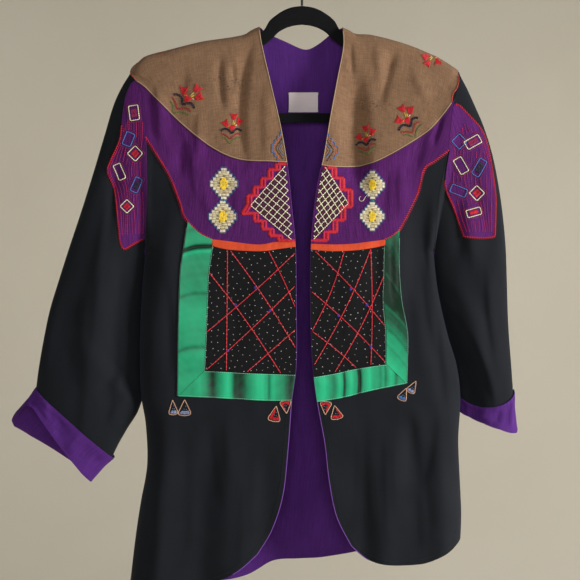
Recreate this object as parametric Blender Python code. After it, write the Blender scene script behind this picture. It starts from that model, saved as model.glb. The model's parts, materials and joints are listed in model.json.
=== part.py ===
"""An embroidered cotton jacket, hanging open on a flocked clothes hanger.

The frame is metres with +Z up. The origin is the point of the hook that rests on a rail.
The jacket's front faces -Y. "Left" and "right" are a viewer's, who stands before that front:
left is -X. The tables are in millimetres and MM turns them into metres.

The body of the jacket is a height field over its outline: every point of a front or of the back
is a place (x, z) in the hanger's plane, and depth() says how far the cloth stands off that plane.
Pieces sewn on a panel are the panel's own points, moved out and trimmed to the piece's outline.
"""

import math

import bmesh
import bpy
import numpy as np

MM = 0.001

# Cloth and gaps
COTTON = 1.2  # wall of the black cotton
APPLIED = 1.0  # wall of what is sewn on it
LINING = 1.0
LABEL = 0.7
LAYER_GAP = 0.35  # between two layers of cloth
SEAM_GAP = 0.45  # between two pieces side by side
ARMHOLE_GAP = 1.3  # between a sleeve and the body, whose facets differ

# How far the cloth stands off the hanger's plane, for each face of the body
SHOULDER_ROLL = 8.0  # depth that the cloth reaches as it rolls over the hanger's arm
ROLL_DROP = 12.0  # and how far below the shoulder line it has reached it
SWELL = {"front": 24.0, "back": 18.0}  # added depth far below the shoulder
SWELL_DROP = {"front": 190.0, "back": 210.0}
ARMHOLE_DEPTH = 20.0  # half the depth of the armhole
SECTION_POWER = 0.7  # of a sleeve's section: 1 is an ellipse, and less is flatter with rounder folds
EDGE_BAND = 0.25  # a point this near to a seam counts as on it
SIDE_ROLL = 42.0  # width over which front and back turn in to the side seam
NECK_DEEPER = 14.0  # extra drop that the cloth takes where it clears the hanger's arch at the neck
NECK_HALF_WIDTH = 58.0
TIP_RAMP = 14.0  # width over which the armhole's depth meets the body's, at the shoulder tip
ARMHOLE_RAMP = 58.0  # and lower down

# Outlines of each half. Columns: x, z. They run from the shoulder tip in, or from the top down.
SHOULDER = {
    "left": [(-236, -166), (-232, -157), (-223, -149.5), (-212, -141.5), (-182, -133.5), (-138, -122.5),
             (-98, -116.5), (-79, -112.5), (-69, -106.5), (-58, -101.5)],
    "right": [(217, -169), (214, -162), (206, -156.5), (194, -148.5), (179, -140.5), (142, -125.5),
              (98, -113.5), (74, -111.5), (64, -106.5), (55, -102.5)],
}
ARMHOLE = {
    "left": [(-236, -166), (-223, -180), (-214, -214), (-211, -254), (-210, -330), (-214, -407)],
    "right": [(217, -169), (211, -190), (204, -217), (197, -273), (185, -339), (180, -407)],
}
SIDE_SEAM = {
    "left": [(-214, -407), (-219, -461), (-222, -536), (-221, -600), (-214, -645), (-212, -700),
             (-221, -753), (-228, -800), (-236, -868)],
    "right": [(180, -407), (186, -461), (199, -520), (212, -565), (217, -610), (214, -665), (216, -720),
              (218, -765), (217, -800)],
}
FRONT_EDGE = {
    "left": [(-58, -101.5), (-55, -125), (-43, -178), (-29, -239), (-20, -292), (-14, -350), (-9, -404),
             (-8, -480), (-8, -560), (-14, -610), (-19, -676), (-26, -738), (-41, -785), (-60, -817)],
    "right": [(55, -102.5), (56, -130), (48, -173), (39, -221), (29, -280), (19, -328), (12, -399),
              (11, -480), (14, -560), (20, -612), (30, -667), (36, -718), (46, -766), (66, -806)],
}
HEM = {
    "left": [(-236, -868), (-180, -867), (-130, -859), (-90, -841), (-60, -817)],
    "right": [(217, -800), (199, -814), (172, -827), (151, -831), (117, -831), (88, -824), (66, -806)],
}
BACK_NECK = [(-58, -101.5), (-41, -111), (-23, -119), (4, -130), (22, -123), (39, -110), (55, -102.5)]
BACK_HEM = [(-236, -868), (-143, -866), (-80, -858), (-40, -838), (-2, -834), (51, -829), (138, -815),
            (217, -800)]

# Outlines of what is sewn on each front. Columns: x, z. Across lines run from the outer side in.
YOKE_SEAM = {
    "left": [(-236, -172), (-216, -184), (-190, -210), (-158, -241), (-120, -270), (-85, -285),
             (-41, -288), (-21, -289)],
    "right": [(222, -176), (204, -206), (180, -237), (161, -253), (118, -279), (86, -292), (46, -295),
              (27, -293)],
}
BAND_EDGE = {
    "left": [(-213, -254), (-202, -270), (-180, -306), (-165, -343), (-159, -362), (-140, -383),
             (-121, -393)],
    "right": [(199, -272), (179, -287), (165, -298), (155, -333), (134, -375), (124, -386), (112, -393)],
}
BINDING_TOP = {
    "left": [(-121, -393), (-104, -395), (-61, -400), (-38, -397), (-9, -393)],
    "right": [(112, -393), (91, -396), (67, -399), (43, -400), (13, -399)],
}
BINDING_FOOT = {
    "left": [(-121, -402), (-98, -407), (-56, -409), (-32, -406), (-9, -403)],
    "right": [(112, -401), (79, -407), (43, -409), (13, -407)],
}
FRAME_OUTER = {
    "left": [(-154, -368), (-159, -404), (-164, -440), (-166, -516), (-167, -604)],
    "right": [(131, -379), (130, -426), (133, -471), (140, -507), (142, -530), (140, -587)],
}
FRAME_INNER = {
    "left": [(-121, -393), (-123, -413), (-127, -444), (-129, -498), (-132, -570)],
    "right": [(112, -393), (111, -444), (110, -480), (113, -516), (113, -561)],
}
FRAME_HEAD = {
    "left": [(-132, -570), (-105, -571), (-69, -573), (-9, -575)],
    "right": [(113, -561), (73, -567), (46, -573), (17, -578)],
}
FRAME_FOOT = {
    "left": [(-167, -604), (-123, -606), (-52, -610), (-14, -610)],
    "right": [(140, -587), (91, -597), (55, -606), (20, -612)],
}
BACK_YOKE_SEAM = [(-240, -172), (-190, -214), (-120, -256), (-50, -274), (0, -277), (50, -274), (115, -257),
                  (175, -219), (222, -174)]
PATCH = {
    "left": [(-229, -177), (-233, -181), (-240, -198), (-244, -225), (-247, -256), (-259, -284), (-264, -301),
             (-254, -328), (-249, -374), (-247, -395), (-242, -406), (-231, -400), (-217, -392), (-214, -360),
             (-213, -300), (-213, -254), (-216, -220), (-224, -185)],
    "right": [(208, -209), (214, -211), (233, -230), (245, -244), (252, -262), (258, -293), (263, -332),
              (263, -360), (262, -389), (243, -391), (220, -389), (207, -352), (195, -324), (194, -306),
              (199, -275), (204, -240)],
}
TIP_INSET = 4  # how far the yoke stops short of the shoulder tip
# Where an outline runs off the panel that it trims
PAST_SEAM, PAST_EDGE = 262, 22  # x beyond the outer seam, and across the open front
ABOVE = -60  # z above the shoulders
BEFORE, BEHIND = -120, 120  # y before and behind all the cloth
LABEL_PLACE = (-18, 22, -216, -189)  # low x, high x, low z, high z

# Each sleeve from the armhole down. Columns: outer x, outer z, inner x, inner z, half depth, y.
SLEEVE = {
    "left": [
        (-236, -166, -214, -407, 20, 0),
        (-255, -204, -217, -425, 21, 0),
        (-269, -250, -221, -452, 22, 0),
        (-286, -307, -224, -490, 23, 0),
        (-301, -355, -226, -525, 24, 0),
        (-317, -403, -226, -560, 24, 0),
        (-332, -450, -225, -595, 24, 0),
        (-344, -490, -222, -623, 24, 0),
        (-353, -535, -238, -651, 24, -1),
        (-359, -572, -250, -672, 23, -2),
        (-362, -597, -259, -691, 22, -2),
    ],
    "right": [
        (217, -169, 180, -407, 20, 0),
        (233, -204, 183, -425, 21, 1),
        (247, -236, 188, -448, 22, 2),
        (258, -270, 194, -474, 23, 3),
        (266, -306, 200, -500, 24, 4),
        (273, -350, 206, -523, 24, 5),
        (278, -400, 212, -545, 24, 6),
        (280, -450, 219, -565, 23, 7),
        (282, -505, 222, -582, 22, 8),
        (286, -560, 224, -592, 21, 8),
        (289, -602, 226, -600, 20, 8),
    ],
}
ARMHOLE_BOW_FADES = 4  # stations over which the armhole's curve straightens out
FRONT_DIP = {"left": 0, "right": 22}  # how much lower the sleeve's end hangs at its front
DIP_STATIONS = 5  # stations over which it comes in

# Each cuff. Columns: degrees round it from the outer fold by the front, length there.
CUFF_LENGTH = {
    "left": [(0, 44), (22, 22), (40, 18), (65, 23), (98, 31), (140, 39), (180, 42), (230, 42), (290, 48),
             (325, 50), (360, 44)],
    "right": [(0, 43), (40, 32), (75, 20), (110, 17), (180, 26), (250, 34), (300, 40), (360, 43)],
}
CUFF_TURN = {"left": (-29, -33), "right": (3, -44)}  # the way that a cuff runs, x and z
CUFF_FLARE = {"left": (0, 3), "right": (2, 5)}  # how much wider and deeper its mouth is

# Soft folds. Columns: top x, top z, foot x, foot z, half width, height (out is +), foot runs out.
FOLDS = {
    "front": [
        (-97, -640, -90, -868, 24, 5.0, 1),
        (-136, -660, -140, -868, 20, -4.5, 1),
        (-52, -650, -48, -812, 17, -3.5, 1),
        (-188, -560, -196, -868, 17, 4.0, 1),
        (-178, -300, -190, -560, 15, 3.0, 0),
        (150, -632, 154, -748, 17, -5.0, 0),
        (112, -625, 108, -831, 19, 4.0, 1),
        (82, -655, 84, -822, 15, -3.5, 1),
        (190, -640, 194, -820, 13, 3.5, 1),
        (152, -400, 160, -600, 12, 3.5, 0),
        (-168, -255, -150, -330, 14, -2.5, 0),
        (150, -262, 146, -330, 14, -2.5, 0),
    ],
    "back": [
        (-150, -420, -165, -868, 26, 5.0, 1),
        (-96, -520, -104, -860, 20, -5.0, 1),
        (-34, -330, -40, -836, 26, 4.0, 1),
        (20, -450, 22, -832, 18, -4.5, 1),
        (74, -380, 82, -826, 24, 5.0, 1),
        (128, -500, 138, -815, 19, -5.0, 1),
        (172, -430, 180, -806, 20, 4.0, 1),
    ],
}

# Soft folds of the sleeves' fronts and backs. Columns: as above.
SLEEVE_FOLDS = {
    "left": {
        "front": [(-262, -330, -292, -620, 25, 4.5, 0), (-237, -400, -250, -668, 15, -5.0, 0),
                  (-312, -420, -338, -590, 14, -3.5, 0), (-246, -250, -262, -400, 14, -3.0, 0)],
        "back": [(-256, -330, -284, -640, 22, 4.0, 0), (-290, -380, -318, -610, 16, -4.0, 0),
                 (-232, -400, -244, -640, 14, -3.0, 0)],
    },
    "right": {
        "front": [(190, -415, 276, -612, 17, 6.5, 0), (180, -440, 250, -622, 19, -7.0, 0),
                  (240, -300, 262, -450, 15, -3.0, 0)],
        "back": [(228, -330, 252, -600, 18, 4.0, 0), (206, -420, 232, -600, 13, -4.0, 0),
                 (258, -380, 272, -590, 12, -3.0, 0)],
    },
}

# Shares of a panel's width, from the outer seam in, and of its height, from the top down
FRONT_COLUMNS = (0, 0.015, 0.05, 0.11, 0.19, 0.29, 0.4, 0.52, 0.64, 0.76, 0.88, 1)
FRONT_ROWS = (0, 0.004, 0.012, 0.028, 0.055, 0.09, 0.13, 0.175, 0.22, 0.265, 0.31, 0.338, 0.352, 0.39, 0.44,
              0.5, 0.57, 0.64, 0.71, 0.78, 0.85, 0.92, 1)
UNDERARM_SHARE = 0.35  # the share of the outer seam that is armhole
SHOULDER_SHARE = 0.38  # the share of the back's top that is each shoulder
BACK_COLUMNS = (0, 0.01, 0.035, 0.08, 0.15, 0.23, 0.31, 0.38, 0.395, 0.44, 0.5, 0.56, 0.605, 0.62, 0.69, 0.77,
                0.85, 0.92, 0.965, 0.99, 1)

SLEEVE_SIDES = 24
CUFF_RINGS = 4

# The hanger, one half of its closed loop. Columns: outer x, outer z, inner x, inner z.
HANGER = [
    (0, -72, 0, -98),
    (16, -74.5, 12, -99.5),
    (30, -81, 23, -103),
    (44, -92, 33, -109),
    (53, -106, 42, -118),
    (68, -112.5, 58, -129),
    (98, -119, 92, -139),
    (140, -127.8, 134, -146),
    (172, -140, 163, -157),
    (196, -155, 182, -169),
    (209, -171, 193, -181),
    (216, -190, 198, -195),
    (214, -209, 197, -206),
    (205, -224, 191, -215),
    (189, -232, 180, -219),
    (95, -232, 95, -219),
    (0, -232, 0, -219),
]
HANGER_THICK = 4.6
# Its section. Columns: share from inner to outer edge, share of half the thickness.
HANGER_SECTION = [(0, -0.5), (0.12, -1), (0.88, -1), (1, -0.5), (1, 0.5), (0.88, 1), (0.12, 1), (0, 0.5)]

HOOK_WIRE = 1.7  # radius
HOOK_BEND = 19.0  # radius of its bend, at the wire's middle
HOOK_FOOT = -71.6  # it stands a layer's gap above the arch
# The stem below the bend. Columns: x, z.
HOOK_STEM = [(0, -64), (0, -54), (1.5, -47), (7, -40), (13.5, -33), (17.5, -25.5)]
HOOK_SWEEP = 215  # degrees of bend from its low side over the top

# Columns: name, colour as red, green and blue in linear light, roughness.
FINISHES = {
    "black cotton": ((0.012, 0.014, 0.016), 0.85),
    "natural linen": ((0.30, 0.21, 0.13), 0.9),
    "purple cotton": ((0.11, 0.025, 0.17), 0.8),
    "purple lining": ((0.16, 0.04, 0.27), 0.75),
    "green satin": ((0.03, 0.40, 0.20), 0.35),
    "orange cotton": ((0.85, 0.16, 0.03), 0.7),
    "spangled black": ((0.014, 0.014, 0.016), 0.8),
    "woven label": ((0.75, 0.72, 0.74), 0.7),
    "black flock": ((0.008, 0.008, 0.009), 0.95),
    "black wire": ((0.02, 0.02, 0.022), 0.35),
}


def smooth_line(points, steps=10):
    """A curve through the points, read by its share of the length."""
    points = np.array(points, float)
    last = len(points) - 1
    fine = []
    for i in range(last):
        before, start, end, after = (points[min(max(j, 0), last)] for j in (i - 1, i, i + 1, i + 2))
        for t in np.linspace(0, 1, steps, endpoint=False):
            bend = 2 * before - 5 * start + 4 * end - after
            twist = 3 * start - before - 3 * end + after
            fine.append(0.5 * (2 * start + (end - before) * t + bend * t**2 + twist * t**3))
    fine = np.array(fine + [points[last]])
    run = np.concatenate([[0], np.cumsum(np.linalg.norm(np.diff(fine, axis=0), axis=1))])

    def at(share):
        return np.array([np.interp(share * run[-1], run, fine[:, k]) for k in range(fine.shape[1])])

    return at


def joined_lines(lines, breaks):
    """Several curves end to end, each read over its own stretch of the shares."""

    def at(share):
        i = min(max(np.searchsorted(breaks, share, side="right") - 1, 0), len(lines) - 1)
        return lines[i]((share - breaks[i]) / (breaks[i + 1] - breaks[i]))

    return at


def height_along(points):
    """z as a function of x."""
    line = np.array([smooth_line(points)(t) for t in np.linspace(0, 1, 160)])
    line = line[np.argsort(line[:, 0])]
    return lambda x: float(np.interp(x, line[:, 0], line[:, 1]))


def place_down(*tables):
    """x as a function of z, along lines that follow each other down."""
    line = np.array([smooth_line(points)(t) for points in tables for t in np.linspace(0, 1, 200)])
    line = line[np.argsort(line[:, 1])]
    return lambda z: float(np.interp(z, line[:, 1], line[:, 0]))


SHOULDER_Z = {side: height_along(SHOULDER[side]) for side in SHOULDER}
SIDE_X = {side: place_down(ARMHOLE[side], SIDE_SEAM[side]) for side in ARMHOLE}


def eased(t):
    """0 to 1, level at both ends."""
    t = min(max(t, 0.0), 1.0)
    return t * t * (3 - 2 * t)


def rounded(t):
    """0 to 1 as a quarter circle rises."""
    t = min(max(t, 0.0), 1.0)
    return math.sqrt(1 - (1 - t) ** 2)


def armhole_share(side, z):
    """How far down the armhole a height is, 0 at the shoulder tip and 1 at the underarm."""
    tip, underarm = ARMHOLE[side][0][1], ARMHOLE[side][-1][1]
    return min(max((z - tip) / (underarm - tip), 0.0), 1.0)


def fold_height(folds, x, z):
    """What soft folds add to the cloth's depth."""
    total = 0.0
    for top_x, top_z, foot_x, foot_z, half_width, height, runs_out in folds:
        along = (top_z - z) / (top_z - foot_z)
        if along <= 0 or (along >= 1 and not runs_out):
            continue
        fade = eased(along / 0.45)
        if not runs_out:
            fade *= eased((1 - along) / 0.45)
        middle = top_x + (foot_x - top_x) * along
        total += height * fade * math.exp(-(((x - middle) / half_width) ** 2))
    return total


def depth(face, x, z):
    """How far the outer face of the body's cloth stands off the hanger's plane."""
    side = "left" if x < 0 else "right"
    below = max(SHOULDER_Z[side](x) - z - EDGE_BAND, 0.0)
    below += NECK_DEEPER * eased((NECK_HALF_WIDTH - abs(x)) / 16) * eased(below / 3)
    inside = max(abs(SIDE_X[side](z)) - abs(x) - EDGE_BAND, 0.0)
    down = armhole_share(side, z)
    armhole = ARMHOLE_DEPTH * (4 * down * (1 - down)) ** (SECTION_POWER / 2)
    ramp = TIP_RAMP + (ARMHOLE_RAMP - TIP_RAMP) * eased(down / 0.35)
    at_seam = rounded(inside / SIDE_ROLL)
    at_armhole = eased(inside / ramp)
    lower = eased((down - 0.7) / 0.3)
    inward = at_armhole + (at_seam - at_armhole) * lower
    body = SHOULDER_ROLL * rounded(below / ROLL_DROP)
    body += SWELL[face] * (1 - math.exp(-below / SWELL_DROP[face]))
    body += fold_height(FOLDS[face], x, z)
    return armhole + (body - armhole) * inward


def coons(top, foot, outer, inner, u, v):
    """A point of the patch that four edge lines bound: u from outer to inner, v from top to foot."""
    edges = (1 - v) * top(u) + v * foot(u) + (1 - u) * outer(v) + u * inner(v)
    corners = (1 - u) * (1 - v) * top(0) + u * (1 - v) * top(1) + (1 - u) * v * foot(0) + u * v * foot(1)
    return edges - corners


def front_surface(side):
    """The outer face of a front, read by u from its outer seam in and v from its shoulder down."""
    top = smooth_line(SHOULDER[side])
    foot = smooth_line(HEM[side])
    outer = joined_lines([smooth_line(ARMHOLE[side]), smooth_line(SIDE_SEAM[side])], [0, UNDERARM_SHARE, 1])
    inner = smooth_line(FRONT_EDGE[side])

    def at(u, v):
        x, z = coons(top, foot, outer, inner, u, v)
        return np.array([x, -SEAM_GAP / 2 - depth("front", x, z), z])

    return at


def back_surface():
    """The outer face of the back, read by u from left to right and v from the top down."""
    shoulders = [smooth_line(SHOULDER[side]) for side in ("left", "right")]
    mirrored = lambda share: shoulders[1](1 - share)
    top = joined_lines([shoulders[0], smooth_line(BACK_NECK), mirrored],
                       [0, SHOULDER_SHARE, 1 - SHOULDER_SHARE, 1])
    foot = smooth_line(BACK_HEM)
    sides = {}
    for side in ("left", "right"):
        lines = [smooth_line(ARMHOLE[side]), smooth_line(SIDE_SEAM[side])]
        sides[side] = joined_lines(lines, [0, UNDERARM_SHARE, 1])

    def at(u, v):
        x, z = coons(top, foot, sides["left"], sides["right"], u, v)
        return np.array([x, SEAM_GAP / 2 + depth("back", x, z), z])

    return at


def sleeve_surface(side):
    """The outer face of a sleeve, read by its station and the angle from its outer fold by the front."""
    rows = np.array(SLEEVE[side], float)
    places = np.arange(len(rows))
    away = -1 if side == "left" else 1

    def at(station, angle):
        outer_x, outer_z, inner_x, inner_z, half_depth, middle_y = (
            np.interp(station, places, rows[:, k]) for k in range(6)
        )
        share = (1 - math.cos(angle)) / 2
        x = outer_x + (inner_x - outer_x) * share
        z = outer_z + (inner_z - outer_z) * share
        first_z = rows[0, 1] + (rows[0, 3] - rows[0, 1]) * share
        bow = SIDE_X[side](first_z) - (rows[0, 0] + (rows[0, 2] - rows[0, 0]) * share)
        x += bow * (1 - eased(station / ARMHOLE_BOW_FADES)) + away * ARMHOLE_GAP
        dip = eased((station - (len(rows) - 1 - DIP_STATIONS)) / DIP_STATIONS)
        z -= FRONT_DIP[side] * dip * max(math.sin(angle), 0)
        off = math.copysign(abs(math.sin(angle)) ** SECTION_POWER, math.sin(angle))
        folds = SLEEVE_FOLDS[side]["front" if off > 0 else "back"]
        return np.array([x, middle_y - (half_depth + fold_height(folds, x, z)) * off, z])

    return at


def cuff_surface(side):
    """The outer face of a cuff, read by its share of the way to the mouth and the angle round it."""
    sleeve = sleeve_surface(side)
    end = len(SLEEVE[side]) - 1
    angles, lengths = np.array(CUFF_LENGTH[side], float).T
    run = np.array([CUFF_TURN[side][0], 0, CUFF_TURN[side][1]])
    run = run / np.linalg.norm(run)
    wider, deeper = CUFF_FLARE[side]

    def at(share, angle):
        length = np.interp(math.degrees(angle) % 360, angles, lengths)
        point = sleeve(end, angle) + run * (2 * SEAM_GAP + length * share)
        away = -1 if side == "left" else 1
        point[0] += away * wider * share * math.cos(angle)
        point[1] -= deeper * share * math.sin(angle)
        return point

    return at


def grid_of(surface, columns, rows, closed=False):
    """The surface's points and unit normals at each column and row."""
    wide, high = 0.009, 0.004  # each wider than EDGE_BAND on every panel
    points, normals = [], []
    for u in columns:
        line, line_normals = [], []
        for v in rows:
            low_u, high_u = (u - wide, u + wide) if closed else (max(u - wide, 0), min(u + wide, 1))
            low_v, high_v = max(v - high, rows[0]), min(v + high, rows[-1])
            across = surface(high_u, v) - surface(low_u, v)
            down = surface(u, high_v) - surface(u, low_v)
            normal = np.cross(across / np.linalg.norm(across), down / np.linalg.norm(down))
            line.append(surface(u, v))
            line_normals.append(normal / np.linalg.norm(normal))
        points.append(line)
        normals.append(line_normals)
    points, normals = np.array(points), np.array(normals)
    at_seam = (np.abs(points[..., 1]) < SEAM_GAP) & (np.abs(normals[..., 1]) < 0.9999)
    normals[at_seam, 1] = 0  # where front and back meet, the ends of their walls are parallel
    return points, normals / np.linalg.norm(normals, axis=-1, keepdims=True)


def facing(points, normals, away_from):
    """The normals, turned so that they point away from a place inside the garment."""
    outward = ((points - np.array(away_from)) * normals).sum()
    return normals if outward > 0 else -normals


def wall_mesh(name, outer, inner, closed):
    """A closed wall between two like grids, as triangles whose diagonals agree on both faces."""
    columns, rows = outer.shape[:2]
    count = columns * rows
    vertices = np.concatenate([outer.reshape(-1, 3), inner.reshape(-1, 3)]) * MM
    index = lambda i, j: (i % columns) * rows + j
    faces = []
    for i in range(columns if closed else columns - 1):
        for j in range(rows - 1):
            a, b, c, d = index(i, j), index(i + 1, j), index(i + 1, j + 1), index(i, j + 1)
            faces += [(a, b, c), (a, c, d)]
            faces += [(a + count, c + count, b + count), (a + count, d + count, c + count)]
    rims = [[index(i, j) for i in range(columns + closed)] for j in (0, rows - 1)]
    if not closed:
        rims += [[index(i, j) for j in range(rows)] for i in (0, columns - 1)]
    for rim in rims:
        for a, b in zip(rim, rim[1:]):
            faces += [(a, b, b + count), (a, b + count, a + count)]
    mesh = bpy.data.meshes.new(name)
    mesh.from_pydata([tuple(v) for v in vertices], [], faces)
    facing_out(mesh)
    return mesh


def facing_out(mesh):
    work = bmesh.new()
    work.from_mesh(mesh)
    bmesh.ops.recalc_face_normals(work, faces=work.faces)
    if work.calc_volume(signed=True) < 0:
        bmesh.ops.reverse_faces(work, faces=work.faces)
    work.to_mesh(mesh)
    work.free()


def finish(name):
    material = bpy.data.materials.get(name)
    if material:
        return material
    colour, roughness = FINISHES[name]
    material = bpy.data.materials.new(name)
    material.use_nodes = True
    shader = material.node_tree.nodes["Principled BSDF"]
    shader.inputs["Base Color"].default_value = (*colour, 1)
    shader.inputs["Roughness"].default_value = roughness
    shader.inputs["Metallic"].default_value = 0
    return material


def add_piece(name, mesh, finish_name):
    piece = bpy.data.objects.new(name, mesh)
    bpy.context.scene.collection.objects.link(piece)
    mesh.materials.append(finish(finish_name))
    mesh.shade_smooth()
    mesh.set_sharp_from_angle(angle=math.radians(40))
    return piece


def layer(name, grid, lift, thickness, finish_name, closed=False):
    """A wall of cloth whose outer face is the grid moved out by lift."""
    points, normals = grid
    mesh = wall_mesh(name, points + normals * lift, points + normals * (lift - thickness), closed)
    return add_piece(name, mesh, finish_name)


def trimmed(piece, outline, near, far):
    """The piece cut to an outline seen from the front, between two depths."""
    work = bmesh.new()
    rim = [work.verts.new((x * MM, near * MM, z * MM)) for x, z in outline]
    face = work.faces.new(rim)
    extruded = bmesh.ops.extrude_face_region(work, geom=[face])["geom"]
    for vertex in (v for v in extruded if isinstance(v, bmesh.types.BMVert)):
        vertex.co.y = far * MM
    mesh = bpy.data.meshes.new(piece.name + "_outline")
    work.to_mesh(mesh)
    work.free()
    facing_out(mesh)
    cutter = bpy.data.objects.new(mesh.name, mesh)
    bpy.context.scene.collection.objects.link(cutter)
    cutter.hide_render = True
    cutter.display_type = "WIRE"
    cut = piece.modifiers.new("outline", "BOOLEAN")
    cut.operation = "INTERSECT"
    cut.object = cutter
    return piece


def line_points(points, count=9):
    line = smooth_line(points)
    return [tuple(line(t)) for t in np.linspace(0, 1, count)]


def moved(points, x=0.0, z=0.0):
    return [(px + x, pz + z) for px, pz in points]


def front_outlines(side):
    """The outline of each piece on a front, a seam's gap from its neighbours."""
    away = -1 if side == "left" else 1
    outer = away * PAST_SEAM
    inner = -away * PAST_EDGE
    tip = SHOULDER[side][0][0] - away * TIP_INSET
    tables = (YOKE_SEAM, BAND_EDGE, BINDING_TOP, BINDING_FOOT,
              FRAME_OUTER, FRAME_INNER, FRAME_HEAD, FRAME_FOOT)
    lines = [line_points(table[side]) for table in tables]
    seam, band, head, foot, frame_out, frame_in, frame_head, frame_foot = lines
    drop = -SEAM_GAP
    to_centre = lambda line: [(inner, line[-1][1])]
    from_outside = lambda line: [(outer, line[0][1])]
    corner_out = frame_out[-1]
    band_near_frame = [p for p in line_points(BAND_EDGE[side], 33) if abs(p[0]) < abs(frame_out[0][0]) - 1]
    return {
        "yoke": [(tip, ABOVE), (tip, height_along(YOKE_SEAM[side])(tip)),
                 *[p for p in seam if abs(p[0]) < abs(tip)], *to_centre(seam), (inner, ABOVE)],
        "band": [*from_outside(moved(seam, z=drop)), *moved(seam, z=drop), *to_centre(seam), *to_centre(head),
                 *head[::-1], *band[-2::-1], *from_outside(band)],
        "binding": [*moved(head, z=drop), *to_centre(head), *to_centre(foot), *foot[::-1]],
        "panel": [*moved(foot, z=drop), *to_centre(foot), *to_centre(frame_head), *frame_head[::-1],
                  *[(x, z) for x, z in frame_in[-2::-1] if z < foot[0][1] - 1]],
        "frame_side": [*moved(band_near_frame, z=drop), *moved(frame_in, x=away * SEAM_GAP, z=drop)[1:],
                       *moved([corner_out], z=SEAM_GAP), *frame_out[-2:0:-1], *moved(frame_out[:1], z=-3)],
        "frame_foot": [*moved(frame_head, z=drop), *to_centre(frame_head), *to_centre(frame_foot),
                       *frame_foot[::-1]],
    }


def add_front(side):
    grid = grid_of(front_surface(side), FRONT_COLUMNS, FRONT_ROWS)
    points, normals = grid
    grid = (points, facing(points, normals, (0, 0, -450)))
    layer(f"front_{side}", grid, 0, COTTON, "black cotton")
    finishes = {"yoke": "natural linen", "band": "purple cotton", "binding": "orange cotton",
                "panel": "spangled black", "frame_side": "green satin", "frame_foot": "green satin"}
    for piece, outline in front_outlines(side).items():
        sewn = layer(f"{piece}_{side}", grid, LAYER_GAP + APPLIED, APPLIED, finishes[piece])
        trimmed(sewn, outline, BEFORE, 0)


def add_back():
    points, normals = grid_of(back_surface(), BACK_COLUMNS, FRONT_ROWS)
    grid = (points, facing(points, normals, (0, 0, -450)))
    layer("back", grid, 0, COTTON, "black cotton")
    yoke = layer("yoke_back", grid, LAYER_GAP + APPLIED, APPLIED, "natural linen")
    low_x, high_x = (SHOULDER[side][0][0] for side in ("left", "right"))
    low_x, high_x = low_x + TIP_INSET, high_x - TIP_INSET
    seam = [p for p in line_points(BACK_YOKE_SEAM, 17) if low_x < p[0] < high_x]
    outline = [(low_x, ABOVE), (low_x, seam[0][1]), *seam, (high_x, seam[-1][1]), (high_x, ABOVE)]
    trimmed(yoke, outline, 0, BEHIND)
    inside = tuple(part[1:-1, 1:] for part in grid)
    layer("lining_back", inside, -COTTON - LAYER_GAP, LINING, "purple lining")
    add_label()


def add_label():
    """A woven rectangle that lies on the back's lining, under the neck."""
    low_x, high_x, low_z, high_z = LABEL_PLACE
    face = -COTTON - LINING - 2 * LAYER_GAP
    place = lambda x, z: (x, depth("back", x, z) + face, z)
    outer = [[place(x, z) for z in (low_z, high_z)] for x in np.linspace(low_x, high_x, 3)]
    outer = np.array(outer)
    mesh = wall_mesh("label", outer, outer - np.array([0, LABEL, 0]), False)
    add_piece("label", mesh, "woven label")


def add_sleeve(side):
    stations = list(range(len(SLEEVE[side])))
    angles = [2 * math.pi * n / SLEEVE_SIDES for n in range(SLEEVE_SIDES)]
    surface = sleeve_surface(side)
    points, normals = grid_of(lambda u, v: surface(v, u), angles, stations, closed=True)
    centre = points.mean(axis=0, keepdims=True)
    grid = (points, facing(points - centre, normals, (0, 0, 0)))
    layer(f"sleeve_{side}", grid, 0, COTTON, "black cotton", closed=True)
    patch = layer(f"patch_{side}", grid, LAYER_GAP + APPLIED, APPLIED, "purple cotton", closed=True)
    trimmed(patch, line_points(PATCH[side], 26), BEFORE, -SEAM_GAP)


def add_cuff(side):
    shares = np.linspace(0, 1, CUFF_RINGS)
    angles = [2 * math.pi * n / SLEEVE_SIDES for n in range(SLEEVE_SIDES)]
    surface = cuff_surface(side)
    points, normals = grid_of(lambda u, v: surface(v, u), angles, shares, closed=True)
    centre = points.mean(axis=0, keepdims=True)
    grid = (points, facing(points - centre, normals, (0, 0, 0)))
    layer(f"cuff_{side}", grid, 0, COTTON, "purple cotton", closed=True)


def ring_mesh(name, sections):
    """A closed loop of like sections."""
    sections = np.array(sections)
    count, sides = sections.shape[:2]
    faces = []
    for i in range(count):
        for j in range(sides):
            here, there = i * sides, (i + 1) % count * sides
            beside = (j + 1) % sides
            faces.append((here + j, there + j, there + beside, here + beside))
    mesh = bpy.data.meshes.new(name)
    mesh.from_pydata([tuple(v) for v in sections.reshape(-1, 3) * MM], [], faces)
    facing_out(mesh)
    return mesh


def add_hanger():
    mirrored = [(-a, b, -c, d) for a, b, c, d in HANGER[-2:0:-1]]
    sections = []
    for outer_x, outer_z, inner_x, inner_z in HANGER + mirrored:
        wide, high = outer_x - inner_x, outer_z - inner_z
        sections.append([(inner_x + wide * share, HANGER_THICK / 2 * side, inner_z + high * share)
                         for share, side in HANGER_SECTION])
    add_piece("hanger", ring_mesh("hanger", sections), "black flock")


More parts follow.
